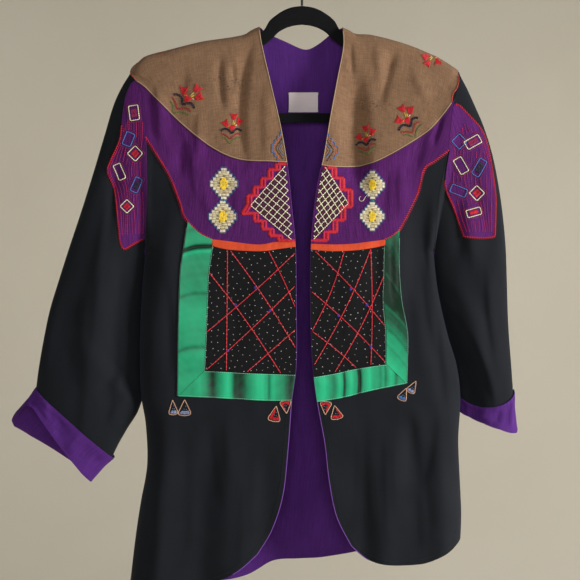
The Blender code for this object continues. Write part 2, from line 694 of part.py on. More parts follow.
def add_hook():
    """Wire that rises from the arch, bends round the rail and ends open."""
    low = math.radians(-12)
    sweep = math.radians(HOOK_SWEEP)
    middle_z = HOOK_WIRE - HOOK_BEND
    points = [(0, HOOK_FOOT), *HOOK_STEM]
    for t in np.linspace(0, 1, 15):
        angle = low + sweep * t
        points.append((HOOK_BEND * math.cos(angle), middle_z + HOOK_BEND * math.sin(angle)))
    curve = bpy.data.curves.new("hook", "CURVE")
    curve.dimensions = "3D"
    curve.bevel_depth = HOOK_WIRE * MM
    curve.bevel_resolution = 2
    curve.use_fill_caps = True
    wire = curve.splines.new("POLY")
    wire.points.add(len(points) - 1)
    for node, (x, z) in zip(wire.points, points):
        node.co = (x * MM, 0, z * MM, 1)
    curve.materials.append(finish("black wire"))
    hook = bpy.data.objects.new("hook", curve)
    bpy.context.scene.collection.objects.link(hook)


def main():
    for thing in list(bpy.data.objects):
        bpy.data.objects.remove(thing, do_unlink=True)
    add_hanger()
    add_hook()
    for side in ("left", "right"):
        add_front(side)
        add_sleeve(side)
        add_cuff(side)
    add_back()


main()
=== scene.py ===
"""The looks of an embroidered cotton jacket that hangs open on a flocked clothes hanger.

Tables and lengths inside this script are in millimetres and MM turns them into metres. +Z is up,
the jacket's front faces -Y, and "left" is a viewer's, who stands before that front. Every layer of
cloth follows stand_off(), the height of the cloth over its outline, and embroidery is drawn as
places (x, z) and laid on the cloth beneath.
"""

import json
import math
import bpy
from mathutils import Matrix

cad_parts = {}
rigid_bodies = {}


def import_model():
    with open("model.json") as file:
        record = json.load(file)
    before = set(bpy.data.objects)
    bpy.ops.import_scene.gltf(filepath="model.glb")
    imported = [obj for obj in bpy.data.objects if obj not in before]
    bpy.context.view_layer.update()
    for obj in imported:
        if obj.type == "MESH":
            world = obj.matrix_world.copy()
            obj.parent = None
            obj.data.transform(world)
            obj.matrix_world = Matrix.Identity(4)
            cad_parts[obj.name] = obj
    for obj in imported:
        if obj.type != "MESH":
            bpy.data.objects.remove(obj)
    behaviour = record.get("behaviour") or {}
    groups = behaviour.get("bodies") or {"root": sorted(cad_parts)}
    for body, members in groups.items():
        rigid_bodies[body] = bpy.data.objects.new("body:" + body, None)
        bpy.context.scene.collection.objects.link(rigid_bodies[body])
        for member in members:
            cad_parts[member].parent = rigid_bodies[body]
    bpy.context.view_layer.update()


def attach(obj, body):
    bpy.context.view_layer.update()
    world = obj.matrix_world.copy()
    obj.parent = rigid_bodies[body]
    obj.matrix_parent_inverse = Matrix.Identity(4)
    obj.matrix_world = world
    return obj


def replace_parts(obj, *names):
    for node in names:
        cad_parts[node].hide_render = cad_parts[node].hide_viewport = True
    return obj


bl_info = {
    "name": "Embroidered jacket on a hanger",
    "version": (1, 0, 0),
    "blender": (4, 5, 0),
    "location": "3D View > Sidebar > Jacket",
    "description": "Makes the cloth, embroidery, hanger and studio of an embroidered jacket",
    "category": "Add Mesh",
}

import bpy
import numpy as np
from mathutils import Vector
from mathutils.bvhtree import BVHTree

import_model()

MM = 0.001
SIDES = ("left", "right")
AWAY = {"left": -1, "right": 1}  # the way from the front edge to the side seam
LIFT = 0.35  # gap between two layers of cloth
SEAM_GAP = 0.45  # between two pieces side by side

# How far the cloth stands off the hanger's plane, for each face of the body
SHOULDER_ROLL, ROLL_DROP = 8.0, 12.0
SWELL = {"front": 24.0, "back": 18.0}
SWELL_DROP = {"front": 190.0, "back": 210.0}
ARMHOLE_DEPTH, SECTION_POWER = 20.0, 0.7
EDGE_BAND, SIDE_ROLL = 0.25, 42.0
NECK_DEEPER, NECK_HALF_WIDTH = 14.0, 58.0
TIP_RAMP, ARMHOLE_RAMP = 14.0, 58.0
FACE_GAP = 0.1  # between front and back at their seams
FACE_SIGN = {"front": -1, "back": 1}

# Outlines of each half. Columns: x, z. They run from the shoulder tip in, or from the top down.
SHOULDER = {
    "left": [(-236, -166), (-232, -157), (-223, -149.5), (-212, -141.5), (-182, -133.5), (-138, -122.5),
             (-98, -116.5), (-79, -112.5), (-69, -106.5), (-58, -101.5)],
    "right": [(217, -169), (214, -162), (206, -156.5), (194, -148.5), (179, -140.5), (142, -125.5),
              (98, -113.5), (74, -111.5), (64, -106.5), (55, -102.5)],
}
ARMHOLE = {
    "left": [(-236, -166), (-223, -180), (-214, -214), (-211, -254), (-210, -330), (-214, -407)],
    "right": [(217, -169), (211, -190), (204, -217), (197, -273), (185, -339), (180, -407)],
}
SIDE_SEAM = {
    "left": [(-214, -407), (-219, -461), (-222, -536), (-221, -600), (-214, -645), (-212, -700),
             (-221, -753), (-228, -800), (-236, -868)],
    "right": [(180, -407), (186, -461), (199, -520), (212, -565), (217, -610), (214, -665), (216, -720),
              (218, -765), (217, -800)],
}
FRONT_EDGE = {
    "left": [(-58, -101.5), (-55, -125), (-43, -178), (-29, -239), (-20, -292), (-14, -350), (-9, -404),
             (-8, -480), (-8, -560), (-14, -610), (-19, -676), (-26, -738), (-41, -785), (-60, -817)],
    "right": [(55, -102.5), (56, -130), (48, -173), (39, -221), (29, -280), (19, -328), (12, -399),
              (11, -480), (14, -560), (20, -612), (30, -667), (36, -718), (46, -766), (66, -806)],
}
HEM = {
    "left": [(-236, -868), (-180, -867), (-130, -859), (-90, -841), (-60, -817)],
    "right": [(217, -800), (199, -814), (172, -827), (151, -831), (117, -831), (88, -824), (66, -806)],
}
BACK_NECK = [(-58, -101.5), (-41, -111), (-23, -119), (4, -130), (22, -123), (39, -110), (55, -102.5)]
BACK_HEM = [(-236, -868), (-143, -866), (-80, -858), (-40, -838), (-2, -834), (51, -829), (138, -815),
            (217, -800)]

# Outlines of what is sewn on each front. Columns: x, z. Across lines run from the outer side in.
YOKE_SEAM = {
    "left": [(-236, -172), (-216, -184), (-190, -210), (-158, -241), (-120, -270), (-85, -285),
             (-41, -288), (-21, -289)],
    "right": [(222, -176), (204, -206), (180, -237), (161, -253), (118, -279), (86, -292), (46, -295),
              (27, -293)],
}
BAND_EDGE = {
    "left": [(-213, -254), (-202, -270), (-180, -306), (-165, -343), (-159, -362), (-140, -383),
             (-121, -393)],
    "right": [(199, -272), (179, -287), (165, -298), (155, -333), (134, -375), (124, -386), (112, -393)],
}
BINDING_TOP = {
    "left": [(-121, -393), (-104, -395), (-61, -400), (-38, -397), (-9, -393)],
    "right": [(112, -393), (91, -396), (67, -399), (43, -400), (13, -399)],
}
BINDING_FOOT = {
    "left": [(-121, -402), (-98, -407), (-56, -409), (-32, -406), (-9, -403)],
    "right": [(112, -401), (79, -407), (43, -409), (13, -407)],
}
FRAME_OUTER = {
    "left": [(-154, -368), (-159, -404), (-164, -440), (-166, -516), (-167, -604)],
    "right": [(131, -379), (130, -426), (133, -471), (140, -507), (142, -530), (140, -587)],
}
FRAME_INNER = {
    "left": [(-121, -393), (-123, -413), (-127, -444), (-129, -498), (-132, -570)],
    "right": [(112, -393), (111, -444), (110, -480), (113, -516), (113, -561)],
}
FRAME_HEAD = {
    "left": [(-132, -570), (-105, -571), (-69, -573), (-9, -575)],
    "right": [(113, -561), (73, -567), (46, -573), (17, -578)],
}
FRAME_FOOT = {
    "left": [(-167, -604), (-123, -606), (-52, -610), (-14, -610)],
    "right": [(140, -587), (91, -597), (55, -606), (20, -612)],
}
BACK_YOKE_SEAM = [(-240, -172), (-190, -214), (-120, -256), (-50, -274), (0, -277), (50, -274), (115, -257),
                  (175, -219), (222, -174)]
TIP_INSET = 4
UNDERARM_SHARE, SHOULDER_SHARE = 0.35, 0.38

# The four sides of each sleeve's patch. Columns: x, z, from the top down or the outer side in.
PATCH = {
    "left": {
        "top": [(-233, -181), (-229, -177)],
        "outer": [(-233, -181), (-240, -198), (-244, -225), (-247, -256), (-259, -284), (-264, -301),
                  (-254, -328), (-249, -374), (-247, -395)],
        "foot": [(-247, -395), (-242, -406), (-231, -400), (-217, -392)],
        "inner": [(-229, -177), (-224, -185), (-216, -220), (-213, -254), (-213, -300), (-214, -360),
                  (-217, -392)],
    },
    "right": {
        "top": [(214, -211), (208, -209)],
        "outer": [(214, -211), (233, -230), (245, -244), (252, -262), (258, -293), (263, -332),
                  (263, -360), (262, -389)],
        "foot": [(262, -389), (243, -391), (220, -389)],
        "inner": [(208, -209), (204, -240), (199, -275), (194, -306), (195, -324), (207, -352),
                  (220, -389)],
    },
}
# The outer end of each yoke, from the shoulder line down to the yoke's seam. Columns: x, z.
PATCH_LEAVES_SEAM = {"left": -420, "right": -272}
YOKE_END = {
    "left": [(-235.2, -167.4), (-229.8, -172.4), (-225, -178.8)],
    "right": [(213.6, -167.2), (213.9, -176), (210.3, -188), (205.2, -195.5), (203.6, -206.6)],
}
LABEL_PLACE = (-18, 22, -216, -189)  # low x, high x, low z, high z

# Each sleeve from the armhole down. Columns: outer x, outer z, inner x, inner z, half depth, y.
SLEEVE = {
    "left": [
        (-236, -166, -214, -407, 20, 0), (-255, -204, -217, -425, 21, 0), (-269, -250, -221, -452, 22, 0),
        (-286, -307, -224, -490, 23, 0), (-301, -355, -226, -525, 24, 0), (-317, -403, -226, -560, 24, 0),
        (-332, -450, -225, -595, 24, 0), (-344, -490, -222, -623, 24, 0), (-353, -535, -238, -651, 24, -1),
        (-359, -572, -250, -672, 23, -2), (-362, -597, -259, -691, 22, -2),
    ],
    "right": [
        (217, -169, 180, -407, 20, 0), (233, -204, 183, -425, 21, 1), (247, -236, 188, -448, 22, 2),
        (258, -270, 194, -474, 23, 3), (266, -306, 200, -500, 24, 4), (273, -350, 206, -523, 24, 5),
        (278, -400, 212, -545, 24, 6), (280, -450, 219, -565, 23, 7), (282, -505, 222, -582, 22, 8),
        (286, -560, 224, -592, 21, 8), (289, -602, 226, -600, 20, 8),
    ],
}
ARMHOLE_GAP, ARMHOLE_BOW_FADES = 1.3, 4
SIDE_REACH = {"left": -626, "right": -760}  # z down to which each sleeve lies against the body
TUCK, TUCK_BACK = 1.2, 13.0  # how far its inner fold reaches in past the side seam, and behind it
FRONT_DIP, DIP_STATIONS = {"left": 0, "right": 22}, 5
ROUND = np.linspace(0, 2 * math.pi, 112, endpoint=False)  # angles round a sleeve

# Each cuff. Columns: degrees round it from the outer fold by the front, length there.
CUFF_LENGTH = {
    "left": [(0, 44), (22, 22), (40, 18), (65, 23), (98, 31), (140, 39), (180, 42), (240, 44), (270, 50),
             (300, 57), (330, 61), (348, 55), (360, 44)],
    "right": [(0, 48), (18, 47), (45, 38), (70, 28), (100, 20), (130, 17), (180, 22), (250, 34), (300, 41),
              (345, 47), (360, 48)],
}
CUFF_TURN = {"left": (-29, -33), "right": (3, -44)}
CUFF_FLARE = {"left": (0, 3), "right": (2, 5)}

# Soft folds that the solids have too.
# Columns: top x, top z, foot x, foot z, half width, height (out is +), foot runs out.
FOLDS = {
    "front": [
        (-97, -640, -90, -868, 24, 5.0, 1), (-136, -660, -140, -868, 20, -4.5, 1),
        (-52, -650, -48, -812, 17, -3.5, 1), (-188, -560, -196, -868, 17, 4.0, 1),
        (-178, -300, -190, -560, 15, 3.0, 0), (150, -632, 154, -748, 17, -5.0, 0),
        (112, -625, 108, -831, 19, 4.0, 1), (82, -655, 84, -822, 15, -3.5, 1),
        (190, -640, 194, -820, 13, 3.5, 1), (152, -400, 160, -600, 12, 3.5, 0),
        (-168, -255, -150, -330, 14, -2.5, 0), (150, -262, 146, -330, 14, -2.5, 0),
    ],
    "back": [
        (-150, -420, -165, -868, 26, 5.0, 1), (-96, -520, -104, -860, 20, -5.0, 1),
        (-34, -330, -40, -836, 26, 4.0, 1), (20, -450, 22, -832, 18, -4.5, 1),
        (74, -380, 82, -826, 24, 5.0, 1), (128, -500, 138, -815, 19, -5.0, 1),
        (172, -430, 180, -806, 20, 4.0, 1),
    ],
}
SLEEVE_FOLDS = {
    "left": {
        "front": [(-262, -330, -292, -620, 25, 4.5, 0), (-237, -400, -250, -668, 15, -5.0, 0),
                  (-312, -420, -338, -590, 14, -3.5, 0), (-246, -250, -262, -400, 14, -3.0, 0)],
        "back": [(-256, -330, -284, -640, 22, 4.0, 0), (-290, -380, -318, -610, 16, -4.0, 0),
                 (-232, -400, -244, -640, 14, -3.0, 0)],
    },
    "right": {
        "front": [(190, -415, 276, -612, 17, 6.5, 0), (180, -440, 250, -622, 19, -7.0, 0),
                  (240, -300, 262, -450, 15, -3.0, 0)],
        "back": [(228, -330, 252, -600, 18, 4.0, 0), (206, -420, 232, -600, 13, -4.0, 0),
                 (258, -380, 272, -590, 12, -3.0, 0)],
    },
}

CREASE_DEPTH = 1.7  # a share of the heights below
CREASE_LEAN = 1.35  # how much gentler each crease's one side is
# Finer creases. Columns: start x, start z, end x, end z, bow to its side, half width, height.
CREASES = {
    "front": [
        (-200, -430, -206, -690, 6, 9, 1.3), (-188, -420, -180, -600, -5, 7, -1.1),
        (-176, -612, -192, -860, 8, 12, 0.75), (-158, -640, -164, -850, -6, 10, -0.65),
        (40, -630, 36, -780, 3, 9, 0.55), (66, -640, 60, -812, -4, 10, -0.9),
        (96, -618, 101, -800, 5, 10, 0.7), (134, -606, 152, -740, -8, 9, -1.5),
        (174, -606, 158, -735, -8, 9, -1.3), (106, -640, 109, -800, 2, 8, -1),
        (153, -640, 154, -730, 0, 9, 1), (150, -720, 157, -820, 0, 9, -1),
        (128, -640, 132, -790, 4, 9, 0.8), (168, -690, 178, -815, -6, 11, 0.8),
        (184, -470, 196, -640, 5, 8, -1.8), (205, -600, 205, -788, 0, 9, 0.6),
        (168, -400, 188, -560, 5, 8, 1.4), (-126, -624, -108, -765, 4, 10, -1.2),
        (-100, -622, -95, -725, 3, 9, 1), (-148, -650, -150, -850, 0, 11, 0.9),
        (-90, -700, -96, -860, -4, 9, -0.8), (-58, -640, -62, -820, 4, 10, 0.75),
        (-110.6, -134, -106, -226, 2, 6, -2.6), (-94, -148, -92, -192, 0, 4, -1.6),
        (-64, -110, -74, -304, 13, 8, -3.6), (-47, -180, -45, -304, 2, 9, 1.3),
        (-137, -212, -140, -290, 2, 6, 1.5), (-160, -148, -172, -236, -4, 9, -1.4),
        (-197, -176, -189, -270, 0, 8, 3.2), (-164, -245, -170, -318, -4, 8, -2.2),
        (-130, -290, -120, -380, 5, 8, 1.2), (-146, -250, -138, -350, 4, 7, 1.4),
        (-96, -290, -92, -385, 3, 8, -1.1), (69, -140, 74, -356, 0, 21, -4.6),
        (75, -158, 82, -350, 0, 15, -4.4), (66, -120, 70, -178, 0, 4, -1.5),
        (130, -122, 103, -226, 2, 9, -3.0), (99, -118, 106, -208, -3, 8, 1.8),
        (44, -150, 40, -304, 0, 16, 1.5), (150, -150, 176, -214, 4, 8, 1.2),
        (170, -236, 150, -306, 0, 9, -1.7), (193, -220, 176, -272, 0, 5, -2.2),
        (136, -285, 138, -372, 4, 8, 1.6), (118, -290, 112, -380, 3, 7, -1.4),
        (-200, -260, -204, -400, 5, 7, -1.2), (104, -376, 103, -500, 3, 9, -1.6),
        (129, -366, 131, -500, 0, 13, 3.6), (140, -340, 152, -590, 0, 24, -4.2),
        (160, -300, 176, -580, 4, 19, -5.0), (60, -420, 66, -560, 3, 10, 0.7),
        (-62, -420, -70, -560, -3, 10, 0.7), (-90, -440, -84, -560, 3, 9, -0.6),
        (90, -430, 84, -550, 3, 9, -0.6),
    ],
    "back": [
        (-190, -430, -200, -700, 6, 9, 1.4), (-172, -500, -184, -850, -6, 9, -1.5),
        (-128, -560, -124, -860, 5, 8, 1.4), (-70, -480, -76, -850, 5, 9, 1.4),
        (-16, -420, -8, -820, -5, 8, -1.3), (46, -430, 52, -820, 6, 9, -1.4),
        (104, -460, 108, -815, 4, 8, 1.3), (150, -470, 160, -800, -5, 9, 1.4),
        (196, -560, 204, -790, 4, 8, -1.3), (-120, -290, -60, -420, 8, 11, 1.4),
        (110, -290, 64, -420, -8, 11, 1.4), (-170, -240, -140, -380, 6, 9, -1.4),
        (158, -246, 134, -390, -6, 9, -1.4), (-90, -130, -110, -240, 5, 10, 1.4),
        (20, -150, 26, -262, 4, 11, -1.2), (92, -132, 110, -236, 5, 9, 1.3),
    ],
}
SLEEVE_CREASES = {
    "left": {
        "front": [(-240, -260, -262, -420, 6, 8, -1.6), (-262, -300, -290, -470, -6, 8, 1.5),
                  (-284, -420, -318, -600, 6, 9, -1.5), (-240, -470, -262, -660, -6, 8, 1.4),
                  (-300, -440, -300, -620, -5, 8, 1.3), (-232, -560, -280, -610, 5, 8, -1.6),
                  (-226, -590, -262, -650, 4, 7, 1.3), (-262, -350, -302, -720, 0, 13, 2.2),
                  (-238, -380, -262, -640, 6, 9, -1.6)],
        "back": [(-240, -280, -268, -450, 6, 8, -1.4), (-280, -400, -312, -600, 6, 9, 1.6),
                 (-240, -470, -262, -650, -6, 8, 1.4), (-232, -560, -284, -600, 5, 8, -1.6),
                 (-300, -470, -330, -580, -4, 7, 1.2)],
    },
    "right": {
        "front": [(226, -310, 238, -450, 5, 8, 1.5), (206, -330, 214, -430, -4, 7, -1.3),
                  (254, -420, 268, -560, 5, 7, 1.3), (236, -440, 262, -600, -4, 7, -0.5),
                  (146, -432, 270, -640, -22, 7, 3.2), (146, -462, 246, -668, -20, 17, -5.6),
                  (232, -290, 240, -360, 0, 8, -1.4)],
        "back": [(220, -300, 236, -450, 5, 8, -1.4), (244, -420, 262, -590, -5, 8, 1.4),
                 (200, -440, 238, -560, 5, 8, 1.6), (210, -360, 216, -470, 4, 7, -1.2)],
    },
}
# Vertical folds of the loose lining behind the open front, all towards the front.
LINING_CREASES = [(-46, -150, -52, -820, 6, 15, 2.6), (-14, -236, -22, -830, -6, 12, 2.2),
                  (12, -240, 14, -600, 5, 9, 1.6), (34, -150, 40, -820, 5, 13, 2.4),
                  (4, -560, -2, -826, -4, 8, 1.8), (70, -300, 76, -815, 6, 16, 2.4),
                  (-90, -300, -100, -840, 6, 18, 2.6), (120, -320, 128, -800, 6, 18, 2.4),
                  (-150, -320, -156, -850, 6, 18, 2.4)]
# Ripples across each satin strip. Columns: share of its length, half width as a share, height. The same
# heights paint shade into the satin's colour in each trough and a highlight on each crest.
RIPPLES = {
    ("side", "left"): [(0.04, 0.02, -0.4), (0.15, 0.014, -2.0), (0.175, 0.014, 0.8), (0.3, 0.1, -0.3),
                       (0.42, 0.012, -0.7), (0.55, 0.08, 0.3), (0.73, 0.012, -0.7), (0.77, 0.02, 0.3),
                       (0.9, 0.03, 0.2)],
    # The right strip's wide trough at 0.27 is mostly painted shade over its upper part, with a shallow dip.
    ("side", "right"): [(0.02, 0.07, -0.6), (0.27, 0.27, -1.5), (0.24, 0.012, -0.15), (0.35, 0.015, 0.2),
                        (0.5, 0.12, -0.8), (0.56, 0.02, 0.25), (0.65, 0.09, -0.7), (0.71, 0.012, -0.3),
                        (0.825, 0.015, -0.35), (0.95, 0.06, 0.5)],
    ("foot", "left"): [(0.18, 0.04, 0.4), (0.305, 0.05, -1.4), (0.43, 0.04, 1.0), (0.5, 0.025, -0.8),
                       (0.555, 0.055, -1.4), (0.72, 0.05, 0.9), (0.8, 0.01, -0.8), (0.84, 0.03, 0.5),
                       (0.99, 0.06, -1.4)],
    ("foot", "right"): [(0.117, 0.02, -0.8), (0.18, 0.03, 0.6), (0.24, 0.012, -0.8), (0.295, 0.015, -0.4),
                        (0.43, 0.04, 0.9), (0.53, 0.022, -2.1), (0.63, 0.03, 0.9), (0.7, 0.013, -1.5),
                        (0.76, 0.03, 0.6), (0.82, 0.03, -0.6), (0.94, 0.05, 0.9)],
}
RIPPLE_DROP = {"left": 0.03, "right": 0.16}

# The hanger, one half of its closed loop. Columns: outer x, outer z, inner x, inner z.
HANGER = [
    (0, -72, 0, -98), (16, -74.5, 12, -99.5), (30, -81, 23, -103), (44, -92, 33, -109), (53, -106, 42, -118),
    (68, -112.5, 58, -129), (98, -119, 92, -139), (140, -127.8, 134, -146), (172, -140, 163, -157),
    (196, -155, 182, -169), (209, -171, 193, -181), (216, -190, 198, -195), (214, -209, 197, -206),
    (205, -224, 191, -215), (189, -232, 180, -219), (95, -232, 95, -219), (0, -232, 0, -219),
]
HANGER_THICK = 4.6
HOOK_WIRE, HOOK_BEND, HOOK_FOOT, HOOK_SWEEP = 1.7, 19.0, -71.6, 215
HOOK_STEM = [(0, -64), (0, -54), (1.5, -47), (7, -40), (13.5, -33), (17.5, -25.5)]


# Lines and heights

def fine(points, steps=12):
    """Many points along a smooth curve through a few."""
    points = np.array(points, float)
    padded = np.vstack([points[:1], points, points[-1:]])
    t = np.linspace(0, 1, steps, endpoint=False)[:, None]
    line = []
    for before, start, end, after in zip(padded, padded[1:], padded[2:], padded[3:]):
        bend = 2 * before - 5 * start + 4 * end - after
        twist = 3 * start - before - 3 * end + after
        line.append(0.5 * (2 * start + (end - before) * t + bend * t**2 + twist * t**3))
    return np.vstack([*line, points[-1:]])


def length_along(line):
    return np.concatenate([[0], np.cumsum(np.linalg.norm(np.diff(line, axis=0), axis=1))])


def read(line, share):
    """The line's points at each share of its length."""
    run = length_along(line)
    at = np.asarray(share, float) * run[-1]
    return np.stack([np.interp(at, run, column) for column in line.T], axis=-1)


def read_joined(lines, breaks, share):
    """Lines end to end, each over its own stretch of the shares."""
    share = np.asarray(share, float)
    points = np.zeros((len(share), 2))
    for line, low, high in zip(lines, breaks, breaks[1:]):
        inside = (share >= low) & (share <= high)
        points[inside] = read(line, (share[inside] - low) / (high - low))
    return points


def over(*tables, axis=0):
    """One coordinate as a function of the other, along tables that follow each other."""
    line = np.vstack([fine(table, 40) for table in tables])
    line = line[np.argsort(line[:, axis], kind="stable")]
    return lambda value: np.interp(value, line[:, axis], line[:, 1 - axis])


SHOULDER_Z = {side: over(SHOULDER[side]) for side in SIDES}
SIDE_X = {side: over(ARMHOLE[side], SIDE_SEAM[side], axis=1) for side in SIDES}
EDGE_X = {side: over(FRONT_EDGE[side], axis=1) for side in SIDES}


def eased(t):
    """0 to 1, level at both ends."""
    t = np.clip(t, 0.0, 1.0)
    return t * t * (3 - 2 * t)


def rounded(t):
    """0 to 1 as a quarter circle rises."""
    return np.sqrt(1 - (1 - np.clip(t, 0.0, 1.0)) ** 2)


def fold_height(folds, x, z):
    total = np.zeros(np.shape(x))
    for top_x, top_z, foot_x, foot_z, half_width, height, runs_out in folds:
        along = (top_z - z) / (top_z - foot_z)
        fade = eased(along / 0.45)
        if not runs_out:
            fade = fade * eased((1 - along) / 0.45)
        middle = top_x + (foot_x - top_x) * along
        total += height * fade * np.exp(-(((x - middle) / half_width) ** 2))
    return total


def crease_height(creases, x, z):
    total = np.zeros(np.shape(x))
    for start_x, start_z, end_x, end_z, bow, half_width, height in creases:
        run_x, run_z = end_x - start_x, end_z - start_z
        length = math.hypot(run_x, run_z)
        along = ((x - start_x) * run_x + (z - start_z) * run_z) / length**2
        off = ((x - start_x) * run_z - (z - start_z) * run_x) / length
        off = off - 4 * bow * along * (1 - along)
        fade = eased(along / 0.35) * eased((1 - along) / 0.35)
        wide = half_width * np.where((off > 0) == (height < 0), CREASE_LEAN, 1 / CREASE_LEAN)
        total += CREASE_DEPTH * height * fade * np.exp(-((off / wide) ** 2))
    return total


def unevenness(x, z):
    """Slow hollows and rises of half a millimetre, which no pressed cloth is without."""
    slow = np.sin(x / 23 + 1.7 * np.sin(z / 61)) * np.sin(z / 37 + 1.3 * np.sin(x / 47))
    return 0.42 * slow + 0.2 * np.sin((x + z) / 11 + 2 * np.sin((x - z) / 29))


def either(x, of_side):
    """A value worked out for the side of the jacket that each x is on."""
    return np.where(x < 0, of_side("left"), of_side("right"))


def stand_off(face, x, z):
    """How far the cloth's outer face stands off the hanger's plane."""
    tip = {side: ARMHOLE[side][0][1] for side in SIDES}
    underarm = {side: ARMHOLE[side][-1][1] for side in SIDES}
    below = np.maximum(either(x, lambda side: SHOULDER_Z[side](x)) - z - EDGE_BAND, 0)
    neck = NECK_DEEPER * eased((NECK_HALF_WIDTH - np.abs(x)) / 16)
    below = below + neck * eased(below / 3)
    inside = np.maximum(np.abs(either(x, lambda side: SIDE_X[side](z))) - np.abs(x) - EDGE_BAND, 0)
    down = either(x, lambda side: np.clip((z - tip[side]) / (underarm[side] - tip[side]), 0, 1))
    armhole = ARMHOLE_DEPTH * (4 * down * (1 - down)) ** (SECTION_POWER / 2)
    ramp = TIP_RAMP + (ARMHOLE_RAMP - TIP_RAMP) * eased(down / 0.35)
    at_seam = rounded(inside / SIDE_ROLL)
    at_armhole = eased(inside / ramp)
    inward = at_armhole + (at_seam - at_armhole) * eased((down - 0.7) / 0.3)
    body = SHOULDER_ROLL * rounded(below / ROLL_DROP)
    body = body + SWELL[face] * (1 - np.exp(-below / SWELL_DROP[face])) + fold_height(FOLDS[face], x, z)
    free = eased(inside / 14) * eased(below / 16)
    fine_shape = crease_height(CREASES[face], x, z) + unevenness(x, z)
    return armhole + (body - armhole) * inward + fine_shape * free


def body_points(face, places):
    """The cloth's outer face over places (x, z)."""
    x, z = places[..., 0], places[..., 1]
    y = FACE_SIGN[face] * (FACE_GAP / 2 + stand_off(face, x, z))
    return np.stack([x, y, z], axis=-1)


def unit(vectors):
    """The vectors, each brought to a length of 1."""
    return vectors / np.maximum(np.linalg.norm(vectors, axis=-1, keepdims=True), 1e-9)


def patch_between(top, foot, outer, inner, across, down):
    """The grid of places that four lines bound: across from outer to inner, down from top to foot.
    The lines are already read at those shares."""
    u, v = np.meshgrid(across, down, indexing="ij")
    u, v = u[..., None], v[..., None]
    edges = (1 - v) * top[:, None] + v * foot[:, None] + (1 - u) * outer[None] + u * inner[None]
    corners = (1 - u) * ((1 - v) * top[0] + v * foot[0]) + u * ((1 - v) * top[-1] + v * foot[-1])
    return edges - corners


def grid_between(top, foot, outer, inner, across, down):
    """The same grid from lines of any points."""
    lines = read(top, across), read(foot, across), read(outer, down), read(inner, down)
    return patch_between(*lines, across, down)


def shares(count, first=0.0, close=0, last=0.0):
    """Shares from 0 to 1, with some more set close together at the start, and at the end."""
    low = first * np.linspace(0, 1, close, endpoint=False) ** 2
    middle = np.linspace(first, 1 - last, count)
    high = 1 - last * np.linspace(0, 1, close, endpoint=False)[::-1] ** 2 if last else np.array([])
    return np.concatenate([low, middle, high])


def grid_normals(points, closed=False):
    """A unit normal at each point of a grid."""
    if closed:
        across = np.roll(points, -1, axis=0) - np.roll(points, 1, axis=0)
    else:
        across = np.gradient(points, axis=0)
    return unit(np.cross(across, np.gradient(points, axis=1)))


def tube_normals(points, outer=None):
    """The normals of a closed grid, turned away from the middle of each of its first, outer rings."""
    normals = grid_normals(points, True)
    away = points - points.mean(axis=0, keepdims=True)
    return normals if (away * normals)[:, :outer].sum() > 0 else -normals


def level_at_seams(points, normals):
    """Where front and back meet, the cloth's ends stand side by side in the hanger's plane."""
    at_seam = (np.abs(points[..., 1]) < 0.5) & (np.abs(normals[..., 1]) < 0.9999)
    normals[at_seam, 1] = 0
    return unit(normals)


def sleeve_points(side, stations, angles):
    """The outer face of a sleeve, read by its station and the angle from its outer fold by the front."""
    table = fine(SLEEVE[side], 10)
    places = np.linspace(0, len(SLEEVE[side]) - 1, len(table))
    angle, station = np.meshgrid(angles, stations, indexing="ij")
    columns = [np.interp(station, places, column) for column in table.T]
    outer_x, outer_z, inner_x, inner_z, half_depth, middle_y = columns
    share = (1 - np.cos(angle)) / 2
    touches = eased((SLEEVE[side][0][3] - inner_z) / 14) * eased((inner_z - SIDE_REACH[side]) / 24)
    behind = SIDE_X[side](inner_z) - AWAY[side] * (ARMHOLE_GAP + TUCK)
    inner_x = inner_x + (behind - inner_x) * touches
    middle_y = middle_y + TUCK_BACK * touches * share**1.5
    x = outer_x + (inner_x - outer_x) * share
    z = outer_z + (inner_z - outer_z) * share
    first = table[0]
    first_z = first[1] + (first[3] - first[1]) * share
    bow = SIDE_X[side](first_z) - (first[0] + (first[2] - first[0]) * share)
    x = x + bow * (1 - eased(station / ARMHOLE_BOW_FADES)) + AWAY[side] * ARMHOLE_GAP * eased(station / 0.6)
    last = len(SLEEVE[side]) - 1
    dip = FRONT_DIP[side] * eased((station - last + DIP_STATIONS) / DIP_STATIONS)
    z = z - dip * np.maximum(np.sin(angle), 0)
    off = np.sign(np.sin(angle)) * np.abs(np.sin(angle)) ** SECTION_POWER
    free = eased(station / 0.8)
    heights = {}
    for face in ("front", "back"):
        fine_shape = crease_height(SLEEVE_CREASES[side][face], x, z) + unevenness(x + 90, z)
        heights[face] = fold_height(SLEEVE_FOLDS[side][face], x, z) + fine_shape * free
    folds = np.where(off > 0, heights["front"], heights["back"])
    return np.stack([x, middle_y - (half_depth + folds) * off, z], axis=-1)


def cuff_points(side, path, angles):
    """The outer face of a cuff at shares of the way to its mouth."""
    last = len(SLEEVE[side]) - 1
    start = sleeve_points(side, [last], angles)[:, 0]
    degrees, lengths = np.array(CUFF_LENGTH[side], float).T
    length = np.interp(np.degrees(angles) % 360, degrees, lengths)
    run = np.array([CUFF_TURN[side][0], 0, CUFF_TURN[side][1]])
    run = run / np.linalg.norm(run)
    wider, deeper = CUFF_FLARE[side]
    share = np.asarray(path)[None, :]
    points = start[:, None] + run * (0.9 + length[:, None] * share)[..., None]
    points[..., 0] += AWAY[side] * wider * share * np.cos(angles)[:, None]
    points[..., 1] -= deeper * share * np.sin(angles)[:, None]
    return points


# Colours and nodes

def linear(code):
    """An sRGB hex value as linear red, green, blue and alpha."""
    parts = [int(code[i:i + 2], 16) / 255 for i in (1, 3, 5)]
    return (*(c / 12.92 if c <= 0.04045 else ((c + 0.055) / 1.055) ** 2.4 for c in parts), 1.0)


MATH = "ShaderNodeMath"


